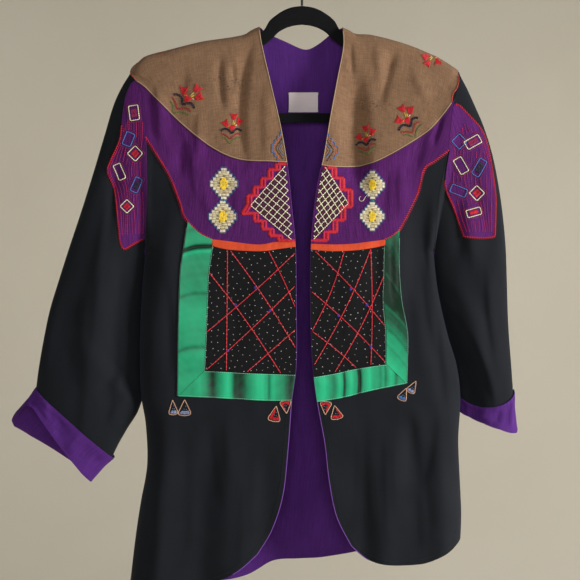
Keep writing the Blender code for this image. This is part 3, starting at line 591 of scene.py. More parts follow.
def add(tree, kind, links=None, out=None, **settings):
    """A new node with its settings, or one of its outputs. Links are its inputs, as values or outputs."""
    node = tree.nodes.new(kind)
    for name, value in settings.items():
        setattr(node, name, value)
    for socket, value in (links or {}).items():
        if isinstance(value, bpy.types.NodeSocket):
            tree.links.new(value, node.inputs[socket])
        else:
            node.inputs[socket].default_value = value
    return node if out is None else node.outputs[out]


def settings():
    return bpy.context.scene.jacket


def tone(colour):
    """A colour from its hex value, or from the name of one that a user may change."""
    if not isinstance(colour, str):
        return colour
    return linear(colour) if colour.startswith("#") else getattr(settings().colours, colour)


def paint(tree, shader, share, shade, lit):
    """Colours the shader a share of the way from shade to lit."""
    colour = add(tree, "ShaderNodeMix", {0: share, 6: tone(shade), 7: tone(lit)}, 2, data_type="RGBA")
    tree.links.new(colour, shader.inputs["Base Color"])
    return colour


def emboss(tree, shader, height, strength, distance):
    """Relief that is too fine for the mesh."""
    links = {"Height": height, "Strength": strength, "Distance": distance}
    tree.links.new(add(tree, "ShaderNodeBump", links, "Normal"), shader.inputs["Normal"])


def mottled(tree, place, size, detail=3.0, rough=0.55):
    """An uneven pattern from 0 to 1 whose patches measure size, in millimetres along x, y and z."""
    scale = [1 / (length * MM) for length in size]
    place = add(tree, "ShaderNodeMapping", {"Vector": place, "Scale": scale}, "Vector")
    links = {"Vector": place, "Scale": 1.0, "Detail": detail, "Roughness": rough}
    return add(tree, "ShaderNodeTexNoise", links, "Fac")


def grain(tree, size, detail=3.0, rough=0.55):
    """Such a pattern all through a piece, by one size in millimetres or by three."""
    place = add(tree, "ShaderNodeTexCoord", out="Object")
    return mottled(tree, place, np.broadcast_to(size, 3).tolist(), detail, rough)


def weave(tree, shader, shade, lit, warp, weft, cloud, spacing, bump):
    """A plain weave. warp and weft are the slubs down and across: width and length in mm, contrast.
    cloud is the size in mm and contrast of slow changes, and spacing that of the threads."""
    flat = add(tree, "ShaderNodeUVMap", out="UV", uv_map="cut")
    down = mottled(tree, flat, (warp[0], warp[1], 1))
    across = mottled(tree, flat, (weft[1], weft[0], 1))
    slow = mottled(tree, flat, (cloud[0], cloud[0], 1), 2.0)
    share = 0.5 - warp[2] / 2 - weft[2] / 2 - cloud[1] / 2
    for pattern, contrast in ((down, warp[2]), (across, weft[2]), (slow, cloud[1])):
        share = add(tree, MATH, {0: pattern, 1: contrast, 2: share}, 0, operation="MULTIPLY_ADD")
    share.node.use_clamp = True
    links = {"Vector": flat, "Scale": 0.5 / (spacing * MM), "Distortion": 0.6}
    waves = [add(tree, "ShaderNodeTexWave", links, "Fac", bands_direction=way) for way in ("X", "Y")]
    ribs = add(tree, MATH, {0: waves[0], 1: waves[1]}, 0, operation="MULTIPLY")
    slubs = add(tree, MATH, {0: down, 1: across}, 0, operation="MULTIPLY")
    height = add(tree, MATH, {0: ribs, 1: 0.5, 2: slubs}, 0, operation="MULTIPLY_ADD")
    emboss(tree, shader, height, bump, 0.5 * spacing * MM)
    return paint(tree, shader, share, shade, lit)


def stained_weave(tree, shader, *values):
    """A plain weave with small dark specks where it is stained."""
    colour = weave(tree, shader, *values)
    specks = grain(tree, (2.6, 40, 1.9), 2.0, 0.6)
    specks = add(tree, MATH, {0: specks, 1: 0.55}, 0, operation="SUBTRACT")
    specks = add(tree, MATH, {0: specks, 1: 11.0}, 0, operation="MULTIPLY", use_clamp=True)
    specks = add(tree, MATH, {0: specks, 1: 1.0, 2: 0.1}, 0, operation="SMOOTH_MIN")
    place = add(tree, "ShaderNodeTexCoord", out="Object")
    near = 0.0
    for x, z, wide, high in STAINS:
        links = {"Vector": place, "Location": (x * MM, -20 * MM, z * MM),
                 "Scale": (wide * MM, 60 * MM, high * MM)}
        away = add(tree, "ShaderNodeMapping", links, "Vector", vector_type="TEXTURE")
        away = add(tree, "ShaderNodeVectorMath", {0: away}, "Value", operation="LENGTH")
        inside = add(tree, MATH, {0: 1.25, 1: away}, 0, operation="SUBTRACT", use_clamp=True)
        near = add(tree, MATH, {0: inside, 1: near}, 0, operation="MAXIMUM")
    share = add(tree, MATH, {0: specks, 1: near}, 0, operation="MULTIPLY")
    share = add(tree, MATH, {0: share, 1: 0.75}, 0, operation="MULTIPLY")
    paint(tree, shader, share, colour, "#41362d")


def satin_painted_shade(tree, shader):
    """Painted shade and painted highlight: the satin's colour goes darker in each ripple's trough and lighter
    on each crest, by the value its ripples write on each point, over a slow mottle. Its fine relief draws the
    floats.
    """
    ripple = add(tree, "ShaderNodeAttribute", out="Fac", attribute_name="ripple")
    flat = add(tree, "ShaderNodeUVMap", out="UV", uv_map="cut")
    links = {0: mottled(tree, flat, (13, 13, 1), 2.0), 1: 0.3, 2: ripple}
    share = add(tree, MATH, links, 0, operation="MULTIPLY_ADD", use_clamp=True)
    # 042a18 is the painted shade of the troughs, and the green setting is the painted highlight of the
    # crests.
    paint(tree, shader, share, "#042a18", "green")
    # Real floats lie 0.1 mm apart. They are drawn 0.5 mm apart, so that close views show them.
    emboss(tree, shader, mottled(tree, flat, (0.5, 9, 1), 2.0), 0.25, 0.1 * MM)


def nap(tree, shader):
    """Short upright fibres, worn a little thin in places."""
    fibres = grain(tree, 0.5, 3.0, 0.7)
    share = add(tree, MATH, {0: fibres, 1: grain(tree, 16)}, 0, operation="ADD")
    share = add(tree, MATH, {0: share, 1: 0.5}, 0, operation="MULTIPLY", use_clamp=True)
    paint(tree, shader, share, "#050506", "#1b1c1f")
    emboss(tree, shader, fibres, 0.8, 0.4 * MM)


def lacquer(tree, shader):
    """A smooth coat with a few rubbed places."""
    rubbed = grain(tree, 5, 4.0, 0.6)
    paint(tree, shader, rubbed, "#08080a", "#2c2c2f")
    rough = add(tree, MATH, {0: rubbed, 1: 0.3, 2: 0.22}, 0, operation="MULTIPLY_ADD")
    tree.links.new(rough, shader.inputs["Roughness"])


def mottle(tree, shader):
    """Paint that is hardly uneven."""
    paint(tree, shader, grain(tree, 900), "#d0c9ba", "#dcd6ca")


def strands(tree, shader, code):
    """The strands of a thread, a little lighter and darker, and one stitch to the next."""
    tint = add(tree, "ShaderNodeAttribute", out="Fac", attribute_name="tint")
    tint = add(tree, MATH, {0: tint, 1: 0.7}, 0, operation="MULTIPLY")
    fibres = grain(tree, 0.35, 2.0)
    share = add(tree, MATH, {0: fibres, 1: 0.6, 2: tint}, 0, operation="MULTIPLY_ADD", use_clamp=True)
    dark = (*(c * 0.62 for c in linear(code)[:3]), 1)
    light = (*(min(c * 1.12 + 0.01, 1) for c in linear(code)[:3]), 1)
    paint(tree, shader, share, dark, light)
    emboss(tree, shader, fibres, 0.5, 0.2 * MM)


def made_once(name, draw, roughness, sheen, sheen_tint, specular, *values):
    """The material of that name. On its first use its plain values go on the shader's own sockets, and
    draw() adds its pattern."""
    found = bpy.data.materials.get(name)
    if found:
        return found
    material = bpy.data.materials.new(name)
    material.use_nodes = True
    shader = material.node_tree.nodes["Principled BSDF"]
    plain = {"Roughness": roughness, "Specular IOR Level": specular, "Sheen Weight": sheen,
             "Sheen Roughness": 0.5, "Sheen Tint": linear(sheen_tint)}
    for socket, value in plain.items():
        shader.inputs[socket].default_value = value
    draw(material.node_tree, shader, *values)
    return material


# What each slot is made of. Columns: name, drawing, roughness, sheen, sheen's tint, specular level, then
# for a weave: shade, lit colour, warp, weft, cloud, spacing of the threads in mm, bump.
FINISHES = {
    # Washed cotton is matt and uneven in depth, with a cool bloom where it turns.
    "black_cotton": ("washed black cotton", weave, 0.86, 0.12, "#8fa0ae", 0.25, "#090b10", "black",
                     (3, 60, 0.5), (3, 50, 0.3), (70, 0.9), 0.9, 0.35),
    # The panels' cotton is darker and closer, so their sewn dots stand out.
    "spangled_black": ("close black cotton", weave, 0.88, 0.08, "#8fa0ae", 0.22, "#08080a", "#17171b",
                       (2, 40, 0.4), (2, 40, 0.4), (40, 0.5), 0.8, 0.35),
    # Handwoven cotton: its slubs run down it as paler and darker streaks.
    "purple_cotton": ("handwoven purple cotton", weave, 0.85, 0.08, "#c79be8", 0.2, "#310c3d", "purple",
                      (1.7, 26, 1.5), (1.6, 9, 0.5), (60, 0.4), 0.9, 0.6),
    # The lining and the turned cuffs are a smoother cotton.
    "purple_lining": ("purple lining cotton", weave, 0.8, 0.07, "#c79be8", 0.2, "#331150", "lining",
                      (1.6, 34, 0.8), (1.6, 10, 0.3), (50, 0.5), 0.8, 0.4),
    # Tape, folded and pressed flat.
    "orange_cotton": ("orange cotton tape", weave, 0.75, 0.15, "#ffd0b0", 0.4, "#c63a16", "orange",
                      (1.4, 12, 0.6), (1.4, 8, 0.6), (14, 0.7), 0.7, 0.4),
    # Linen has thick and thin threads both ways, and old stains.
    "natural_linen": ("natural linen", stained_weave, 0.88, 0.15, "#e8d8c0", 0.4, "#6a4d38", "linen",
                      (1.3, 17, 1.15), (1.2, 15, 1.25), (48, 0.55), 1.1, 0.8),
    # Satin is the one glossy cloth.
    "green_satin": ("green satin", satin_painted_shade, 0.36, 0.0, "#ffffff", 0.28),
    # Satin is the one glossy cloth. Its colour has painted shade in its ripples' troughs and a painted
    # highlight on their crests.
    "woven_label": ("bare woven label", weave, 0.7, 0.15, "#ffffff", 0.4, "#e2d0d4", "#fbf0f3", (1.0, 6, 0.3),
                    (0.9, 20, 0.7), (12, 0.3), 0.6, 0.5),
    # Short nylon flock on a moulded core takes nearly all light.
    "black_flock": ("black flock", nap, 0.97, 0.25, "#70757c", 0.15),
    # Black lacquered steel wire.
    "black_wire": ("black lacquered wire", lacquer, 0.36, 0.0, "#ffffff", 0.5),
}


def finish(slot):
    return made_once(*FINISHES[slot])


def thread(name, code):
    """Cotton floss: matt to silky."""
    return made_once(name, strands, 0.6, 0.08, "#ffffff", 0.3, code)


# Stains of the linen. Columns: x, z of the middle, half width, half height.
STAINS = [(-104, -180, 40, 16), (94, -210, 34, 13)]
# Threads by name, as sRGB colours.
THREADS = {
    "red": "#cf0f22", "magenta": "#9c1c56", "maroon": "#4a0f26", "cream": "#fff3c8", "white": "#e6dcc6",
    "tan": "#b3996c", "yellow": "#f3cd22", "black": "#121214", "navy": "#12132e", "blue": "#4b7cc0",
    "teal": "#2c7f86", "brick": "#a5352f", "olive": "#66763c", "coral": "#e8553f", "mint": "#a9e8cd",
    "orange": "#e9752f", "grey": "#8f9cc4", "rose": "#f08a86", "scarlet": "#f0273a", "crimson": "#d01550",
    "plum": "#86184c", "blush": "#e0b394", "indigo": "#34329c", "sand": "#c4b088", "sea": "#2f6f98",
}


def write_attribute(mesh, name, values):
    """A number, or a row of three, for each point of a mesh."""
    values = np.array(values, np.float32)
    kind, column = ("FLOAT_VECTOR", "vector") if values.ndim == 2 else ("FLOAT", "value")
    mesh.attributes.new(name, kind, "POINT").data.foreach_set(column, values.reshape(-1))


# Cloth

OUTER_FACES = {}  # each piece's outer face, in millimetres, for what is laid on it


def ready(name, mesh, materials):
    """A finished piece at the origin, which rides with the jacket."""
    for material in materials:
        mesh.materials.append(material)
    piece = bpy.data.objects.new(name, mesh)
    bpy.context.scene.collection.objects.link(piece)
    mesh.shade_smooth()
    mesh.set_sharp_from_angle(angle=math.radians(50))
    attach(piece, "root")
    return piece


def flat_places(outer, closed):
    """The cut's own coordinates in metres: along each row from its middle, and down each column."""
    if closed:
        outer = np.concatenate([outer, outer[:1]])
    steps = [np.linalg.norm(np.diff(outer, axis=axis), axis=2) for axis in (0, 1)]
    across, down = (np.insert(np.cumsum(steps[axis], axis=axis), 0, 0, axis) for axis in (0, 1))
    return (across - across[len(across) // 2]) * MM, down * MM


def cloth(name, points, normals, lift, wall, slot, lined=False, closed=False, ripple=None):
    """A sheet of cloth over a grid of points: an outer face, an inner face and the cut edges between."""
    outer = points + normals * np.asarray(lift)[..., None]
    inner = outer - normals * wall
    columns, rows = outer.shape[:2]
    count = columns * rows
    ring = columns if closed else columns - 1
    i, j = (index.ravel() for index in np.meshgrid(np.arange(ring), np.arange(rows - 1), indexing="ij"))
    across, down = flat_places(outer, closed)
    corners = [(i, j), (i + 1, j), (i + 1, j + 1), (i, j + 1)]
    face = np.stack([(a % columns) * rows + b for a, b in corners], axis=1)
    flat = np.stack([np.stack([across[a, b], -down[a, b]], axis=1) for a, b in corners], axis=1)
    spots = outer.reshape(-1, 3)
    turn = np.cross(spots[face[:, 1]] - spots[face[:, 0]], spots[face[:, 3]] - spots[face[:, 0]])
    if (turn * normals.reshape(-1, 3)[face[:, 0]]).sum() < 0:
        face, flat = face[:, ::-1], flat[:, ::-1]
    OUTER_FACES[name] = BVHTree.FromPolygons(spots.tolist(), face.tolist())
    forward = {(a, b) for loop in face for a, b in zip(loop, np.roll(loop, -1))}
    rims = [[(a % columns, b) for a in range(ring + 1)] for b in (0, rows - 1)]
    if not closed:
        rims += [[(a, b) for b in range(rows)] for a in (0, columns - 1)]
    rim_faces, rim_flats = [], []
    for rim in rims:
        for (a, b), (c, d) in zip(rim, rim[1:]):
            start, end = a * rows + b, c * rows + d
            loop = [end, start, start + count, end + count]
            rim_faces.append(loop if (start, end) in forward else loop[::-1])
            rim_flats.append([[across[a, b], -down[a, b]]] * 4)
    faces = np.concatenate([face, face[:, ::-1] + count, rim_faces])
    flats = np.concatenate([flat, flat[:, ::-1], rim_flats])
    mesh = bpy.data.meshes.new(name + "_cloth")
    mesh.from_pydata((np.concatenate([spots, inner.reshape(-1, 3)]) * MM).tolist(), [], faces.tolist())
    mesh.uv_layers.new(name="cut").uv.foreach_set("vector", flats.reshape(-1).astype(np.float32))
    if ripple is not None:
        write_attribute(mesh, "ripple", np.tile(ripple.reshape(-1), 2))
    piece = ready(name + "_cloth", mesh, [finish(slot)] + [finish("purple_lining")] * lined)
    if lined:
        marks = np.zeros(len(faces), np.int32)
        marks[len(face):2 * len(face)] = 1
        mesh.polygons.foreach_set("material_index", marks)
    diagonals = np.cross(spots[face[:, 2]] - spots[face[:, 0]], spots[face[:, 3]] - spots[face[:, 1]])
    piece["flat_area"] = float(0.5 * np.linalg.norm(diagonals, axis=1).sum()) * MM**2
    piece["flat_size"] = [float(np.ptp(across)), float(np.ptp(down))]
    return piece


def declare(piece, held, *rests_on):
    """The sheet takes its solid's place, which is hidden."""
    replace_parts(piece, piece.name.removesuffix("_cloth"))


def body_cloth(name, face, places, lift, wall, slot, **more):
    """A sheet over places on the jacket's front or back."""
    points = body_points(face, places)
    normals = grid_normals(points)
    if (normals[..., 1] * FACE_SIGN[face]).sum() < 0:
        normals = -normals
    return cloth(name, points, level_at_seams(points, normals), lift, wall, slot, **more)


def applied_wall(thinner=0.0):
    """How far the outer face of what is sewn on lies over the front's, and its wall."""
    wall = settings().sizes.applied_wall / MM - thinner
    return wall + LIFT, wall


def edge_line(side, top_z, foot_z, count):
    """The front edge between two heights."""
    z = np.linspace(top_z, foot_z, count)
    return np.stack([EDGE_X[side](z), z], axis=1)


def cut_at_edge(side, table, drop=0.0):
    """A line across the front, from its outer end to where it meets the front edge."""
    line = fine(table)
    line[:, 1] += drop
    inside = AWAY[side] * (line[:, 0] - EDGE_X[side](line[:, 1])) > 0.2
    line = line[inside]
    last_z = line[-1, 1]
    return np.vstack([line, [[EDGE_X[side](last_z), last_z]]])


def front_piece(name, side, lines, step, slot, thinner=0.0, down=None, shape=None):
    """A piece sewn on a front. Its lines are the top, foot, outer and inner one, its grid has about one
    step, and shape gives its extra height, and the painted shade and painted highlight of its ripples."""
    top, foot, outer, inner = lines
    wide = max(length_along(top)[-1], length_along(foot)[-1])
    high = max(length_along(outer)[-1], length_along(inner)[-1])
    across = shares(max(int(wide / step), 4))
    down = shares(max(int(high / step), 4)) if down is None else down
    places = grid_between(*lines, across, down)
    lift, wall = applied_wall(thinner)
    height, ripple = shape(across, down, places) if shape else (0.0, None)
    piece = body_cloth(name, "front", places, lift + height, wall, slot, ripple=ripple)
    declare(piece, "laid", f"front_{side}")


def side_line(side, down):
    """The armhole and the side seam below it, at shares of the way down."""
    return read_joined([fine(ARMHOLE[side]), fine(SIDE_SEAM[side])], [0, UNDERARM_SHARE, 1], down)


def straight(start, end):
    return np.array([start, end], float)


def make_fronts():
    across, down = shares(64, 0.05, 9), shares(152, 0.03, 14)
    for side in SIDES:
        places = patch_between(read(fine(SHOULDER[side]), across), read(fine(HEM[side]), across),
                               side_line(side, down), read(fine(FRONT_EDGE[side]), down), across, down)
        piece = body_cloth(f"front_{side}", "front", places, 0.0, settings().sizes.cotton_wall / MM,
                           "black_cotton", lined=True)
        declare(piece, "hung", "hanger")


def back_places(across, down):
    shoulders = [fine(SHOULDER["left"]), fine(SHOULDER["right"])[::-1]]
    top = read_joined([shoulders[0], fine(BACK_NECK), shoulders[1]],
                      [0, SHOULDER_SHARE, 1 - SHOULDER_SHARE, 1], across)
    sides = [side_line(side, down) for side in SIDES]
    return patch_between(top, read(fine(BACK_HEM), across), *sides, across, down)


def make_back():
    places = back_places(shares(110, 0.03, 9, 0.03), shares(152, 0.03, 14))
    wall = settings().sizes.cotton_wall / MM
    piece = body_cloth("back", "back", places, 0.0, wall, "black_cotton", lined=True)
    declare(piece, "hung", "hanger")


def make_lining():
    sizes = settings().sizes
    across, down = shares(100)[1:-1] * 0.985 + 0.0075, shares(120, 0.02, 6)
    places = back_places(across, 0.004 + down * 0.993)
    depth = crease_height(LINING_CREASES, places[..., 0], places[..., 1])
    lift = -sizes.cotton_wall / MM - LIFT - np.maximum(depth, 0)
    piece = body_cloth("lining_back", "back", places, lift, sizes.lining_wall / MM, "purple_lining")
    # The label and what shows of the lining lie on its inner face.
    mesh = piece.data
    half = len(mesh.vertices) // 2
    inner = [v.co / MM for v in mesh.vertices[half:]]
    loops = [[v - half for v in p.vertices] for p in mesh.polygons if min(p.vertices) >= half]
    OUTER_FACES["lining_inside"] = BVHTree.FromPolygons(inner, loops)
    declare(piece, "hung", "back")


def make_yokes():
    for side in SIDES:
        away = AWAY[side]
        outer, shoulder = fine(YOKE_END[side]), fine(SHOULDER[side])
        top = np.vstack([outer[:1], shoulder[away * shoulder[:, 0] < away * outer[0, 0] - 1]])
        seam = cut_at_edge(side, YOKE_SEAM[side])
        seam = np.vstack([outer[-1:], seam[away * seam[:, 0] < away * outer[-1, 0] - 1]])
        inner = edge_line(side, top[-1][1], seam[-1][1], 60)
        front_piece(f"yoke_{side}", side, (top, seam, outer, inner), 2.6, "natural_linen",
                    down=shares(62, 0.08, 10))
    low, high = SHOULDER["left"][0][0] + TIP_INSET, SHOULDER["right"][0][0] - TIP_INSET
    top = np.vstack([fine(SHOULDER["left"]), fine(BACK_NECK)[1:], fine(SHOULDER["right"])[::-1][1:]])
    seam = fine(BACK_YOKE_SEAM)
    top, seam = (line[(line[:, 0] > low) & (line[:, 0] < high)] for line in (top, seam))
    places = grid_between(top, seam, straight(top[0], seam[0]), straight(top[-1], seam[-1]), shares(130),
                          shares(52, 0.08, 10))
    declare(body_cloth("yoke_back", "back", places, *applied_wall(), "natural_linen"), "laid", "back")


def make_bands():
    for side in SIDES:
        seam = cut_at_edge(side, YOKE_SEAM[side], -SEAM_GAP)
        seam = seam[AWAY[side] * (SIDE_X[side](seam[:, 1]) - seam[:, 0]) > 0.05]
        foot = np.vstack([fine(BAND_EDGE[side]), cut_at_edge(side, BINDING_TOP[side])[1:]])
        z = np.linspace(seam[0][1], BAND_EDGE[side][0][1], 40)
        outer = np.stack([SIDE_X[side](z) - AWAY[side] * 0.05, z], axis=1)
        outer[0], outer[-1] = seam[0], foot[0]
        inner = edge_line(side, seam[-1][1], foot[-1][1], 60)
        front_piece(f"band_{side}", side, (seam, foot, outer, inner), 2.4, "purple_cotton")


def tape_crown(across, down, places):
    """The folded tape is thicker along its middle, and slightly puckered."""
    crown = 0.9 * np.sqrt(np.sin(math.pi * np.clip(down, 0.02, 0.98)))
    puckers = 0.12 * np.sin(across * 43 + 2 * np.sin(across * 17))
    return crown[None, :] + puckers[:, None] * np.sin(math.pi * down)[None, :], None


def make_bindings():
    for side in SIDES:
        top, foot = cut_at_edge(side, BINDING_TOP[side]), cut_at_edge(side, BINDING_FOOT[side])
        lines = top, foot, straight(top[0], foot[0]), straight(top[-1], foot[-1])
        front_piece(f"binding_{side}", side, lines, 1.1, "orange_cotton", shape=tape_crown)


def make_panels():
    for side in SIDES:
        top = cut_at_edge(side, BINDING_FOOT[side], -0.3)
        foot = cut_at_edge(side, FRAME_HEAD[side])
        outer = fine([top[0], *[p for p in FRAME_INNER[side][1:] if p[1] < top[0][1] - 2]])
        inner = edge_line(side, top[-1][1], foot[-1][1], 60)
        front_piece(f"panel_{side}", side, (top, foot, outer, inner), 3.0, "spangled_black", thinner=0.2)


def rippled(kind, side, along, fold):
    """A satin strip's height, faded at its sewn sides, and the same ripples as painted shade and painted
    highlight for its colour: darker in each trough, lighter on each crest.
    """
    total = 0.04 * np.sin(61 * along + 2 * np.sin(17 * along)) + 0.03 * np.sin(137 * along)
    for place, half_width, height in RIPPLES[kind, side]:
        total = total + height * np.exp(-(((along - place) / half_width) ** 2))
    # The second value is painted shade and highlight for the colour. It may fall below 0, which darkens the
    # satin past its mottle.
    return 0.9 + 0.7 * total * (0.35 + 0.65 * np.sin(math.pi * fold)), np.clip(0.5 + 0.45 * total, -0.25, 1)


def make_frames():
    for side in SIDES:
        away = AWAY[side]
        edge = fine(BAND_EDGE[side])
        edge = edge[away * edge[:, 0] < away * FRAME_OUTER[side][0][0]] - np.array([0, SEAM_GAP])
        outer, inner = fine(FRAME_OUTER[side]), fine(FRAME_INNER[side])
        outer[0], inner[0] = edge[0], edge[-1]
        head, foot = cut_at_edge(side, FRAME_HEAD[side], -SEAM_GAP), cut_at_edge(side, FRAME_FOOT[side])
        mitre = straight(head[0], foot[0] + np.array([-away * 0.4, -0.2]))

        def down_side(across, down, places):
            slant = RIPPLE_DROP[side] * (across - 0.5) + 0.007 * np.sin(4 * across)
            along = (edge[0, 1] - places[..., 1]) / (edge[0, 1] - outer[-1, 1]) + slant[:, None]
            return rippled("side", side, along, across[:, None])

        def along_foot(across, down, places):
            along = (places[..., 0] - foot[0, 0]) / (foot[-1, 0] - foot[0, 0])
            return rippled("foot", side, along + 0.005 * np.sin(3 * down)[None], down[None])

        front_piece(f"frame_side_{side}", side, (edge, straight(outer[-1], inner[-1]), outer, inner), 1.3,
                    "green_satin", shape=down_side)
        at_edge = edge_line(side, head[-1][1], foot[-1][1], 12)
        front_piece(f"frame_foot_{side}", side, (head, foot, mitre, at_edge), 1.3, "green_satin",
                    shape=along_foot)


def make_sleeves():
    for side in SIDES:
        points = sleeve_points(side, shares(112) * (len(SLEEVE[side]) - 1), ROUND)
        piece = cloth(f"sleeve_{side}", points, tube_normals(points), 0.0, settings().sizes.cotton_wall / MM,
                      "black_cotton", lined=True, closed=True)
        declare(piece, "hung", f"front_{side}", "back")


def make_cuffs():
    """Each cuff is the lining turned out over the sleeve's end: out, round its fold and back inside."""
    out, back, fold, outer = np.linspace(-0.09, 1, 22), np.linspace(1, -0.02, 16)[1:], 2.6, 20
    path = np.concatenate([out, back])
    over_sleeve = 1.9 * (1 - eased((out + 0.09) / 0.5)) + 0.4
    offsets = np.concatenate([over_sleeve, -fold * eased((1 - back) / 0.1)])
    pucker = 0.4 * np.sin(46 * ROUND + 3 * np.sin(5 * ROUND))[:, None] * np.exp(-((path / 0.28) ** 2))
    for side in SIDES:
        points = cuff_points(side, path, ROUND)
        normals = tube_normals(points[:, :len(out)])
        normals = np.concatenate([normals, normals[:, ::-1][:, 1:len(back) + 1]], axis=1)
        degrees, percent = np.meshgrid(np.degrees(ROUND), 100 * path, indexing="ij")
        swell = crease_height(CUFF_CREASES[side], degrees, percent)
        points = points + normals * (offsets + swell + pucker)[..., None]
        piece = cloth(f"cuff_{side}", points, tube_normals(points, outer), 0.0,
                      settings().sizes.lining_wall / MM, "purple_lining", closed=True)
        declare(piece, "folded", f"sleeve_{side}")


# Creases of each cuff. Columns: start degrees, start %, end degrees, end %, bow, half width, height.
CUFF_CREASES = {
    "left": [(18, 0, 34, 100, 0, 9, -2.2), (52, -10, 62, 80, 0, 7, 1.3), (78, 0, 84, 90, 0, 6, -1.1),
             (104, -10, 112, 100, 0, 8, 1.2), (140, 0, 150, 100, 0, 9, -1.0), (215, 0, 222, 100, 0, 9, 1.2),
             (262, 0, 268, 100, 0, 9, -1.3), (312, 0, 318, 100, 0, 9, 1.3)],
    "right": [(30, -10, 44, 90, 0, 8, 1.4), (66, 0, 74, 80, 0, 7, -1.2), (96, -10, 104, 90, 0, 7, 1.1),
              (140, 0, 150, 100, 0, 8, -1.0), (220, 0, 228, 100, 0, 9, 1.2), (290, 0, 298, 100, 0, 9, -1.2)],
}


def laid(names, places, lift=0.0):
    """Places (x, z) put on the outermost of some pieces' faces, seen from the front, and the normals."""
    points, normals = [], []
    for x, z in places:
        best = None
        for name in names:
            hit = OUTER_FACES[name].ray_cast(Vector((x, -200, z)), Vector((0, 1, 0)))
            if hit[0] is not None and (best is None or hit[0].y < best[0].y):
                best = hit
        if best is None:
            found = [OUTER_FACES[name].find_nearest(Vector((x, -20, z))) for name in names]
            best = min((f for f in found if f[0] is not None), key=lambda f: f[3])
        normal = best[1] if best[1].y < 0.2 else -best[1]
        points.append(best[0] + normal * lift)
        normals.append(normal)
    return np.array([tuple(p) for p in points]), np.array([tuple(n) for n in normals])


def patch_lines(side):
    """The patch's four sides. Where it lies beside the armhole it starts at that seam."""
    lines = {name: fine(line) for name, line in PATCH[side].items()}
    inner = lines["inner"]
    seam_x = SIDE_X[side](inner[:, 1]) + AWAY[side] * 0.1
    beside = (np.abs(seam_x - inner[:, 0]) < 6) & (inner[:, 1] > PATCH_LEAVES_SEAM[side])
    inner[:, 0] = np.where(beside, seam_x, inner[:, 0])
    lines["top"][-1] = inner[0]
    lines["foot"][-1] = inner[-1]
    return lines


def make_patches():
    wall = settings().sizes.applied_wall / MM
    for side in SIDES:
        lines = patch_lines(side)
        lines = [lines[name] for name in ("top", "foot", "outer", "inner")]
        places = grid_between(*lines, shares(22), shares(96))
        points, normals = (part.reshape(places.shape[:2] + (3,))
                           for part in laid([f"sleeve_{side}"], places.reshape(-1, 2)))
        piece = cloth(f"patch_{side}", points, normals, wall + LIFT, wall, "purple_cotton")
        declare(piece, "laid", f"sleeve_{side}")


def make_label():
    """The label lies on the lining and stands a little off it between its sewn corners."""
    low_x, high_x, low_z, high_z = LABEL_PLACE
    columns, rows = 25, 17
    places = np.stack(np.meshgrid(np.linspace(low_x, high_x, columns), np.linspace(high_z, low_z, rows),
                                  indexing="ij"), axis=-1)
    hits = [OUTER_FACES["lining_inside"].ray_cast(Vector((x, -4, z)), Vector((0, 1, 0)))[0]
            for x, z in places.reshape(-1, 2)]
    points = np.array([tuple(hit) for hit in hits]).reshape(columns, rows, 3)
    points[..., 1] = points[..., 1].mean(axis=0, keepdims=True) * 0.6 + points[..., 1] * 0.4
    normals = np.zeros_like(points)
    normals[..., 1] = -1
    puff = 0.25 * np.outer(*(np.sin(np.linspace(0, math.pi, count)) for count in (columns, rows)))
    piece = cloth("label", points, normals, 1.0 + puff, settings().sizes.label_wall / MM, "woven_label")
    declare(piece, "laid", "lining_back")


# Geometry Nodes for what repeats

def new_tree(name, *inputs):
    """A geometry tree with named inputs. Columns of inputs: name, kind of socket, default."""
    tree = bpy.data.node_groups.new(name, "GeometryNodeTree")
    tree.interface.new_socket("Geometry", in_out="INPUT", socket_type="NodeSocketGeometry")
    for label, kind, default in inputs:
        socket = tree.interface.new_socket(label, in_out="INPUT", socket_type=f"NodeSocket{kind}")
        socket.default_value = default
    tree.interface.new_socket("Geometry", in_out="OUTPUT", socket_type="NodeSocketGeometry")
    return tree, add(tree, "NodeGroupInput").outputs


def close_tree(tree, geometry, materials):
    """Ends a tree: its instances made real, and a material for each number of the colour attribute."""
    geometry = add(tree, "GeometryNodeRealizeInstances", {"Geometry": geometry}, 0)
    geometry = add(tree, "GeometryNodeSetShadeSmooth", {"Geometry": geometry}, 0)
    number = add(tree, "GeometryNodeInputNamedAttribute", {"Name": "colour"}, "Attribute")
    for index, material in enumerate(materials):
        links = {"Geometry": geometry, "Material": material}
        if len(materials) > 1:
            links["Selection"] = add(tree, "FunctionNodeCompare", {0: number, 1: index, "Epsilon": 0.25}, 0,
                                     operation="EQUAL", data_type="FLOAT")
        geometry = add(tree, "GeometryNodeSetMaterial", links, 0)
    add(tree, "NodeGroupOutput", {"Geometry": geometry})


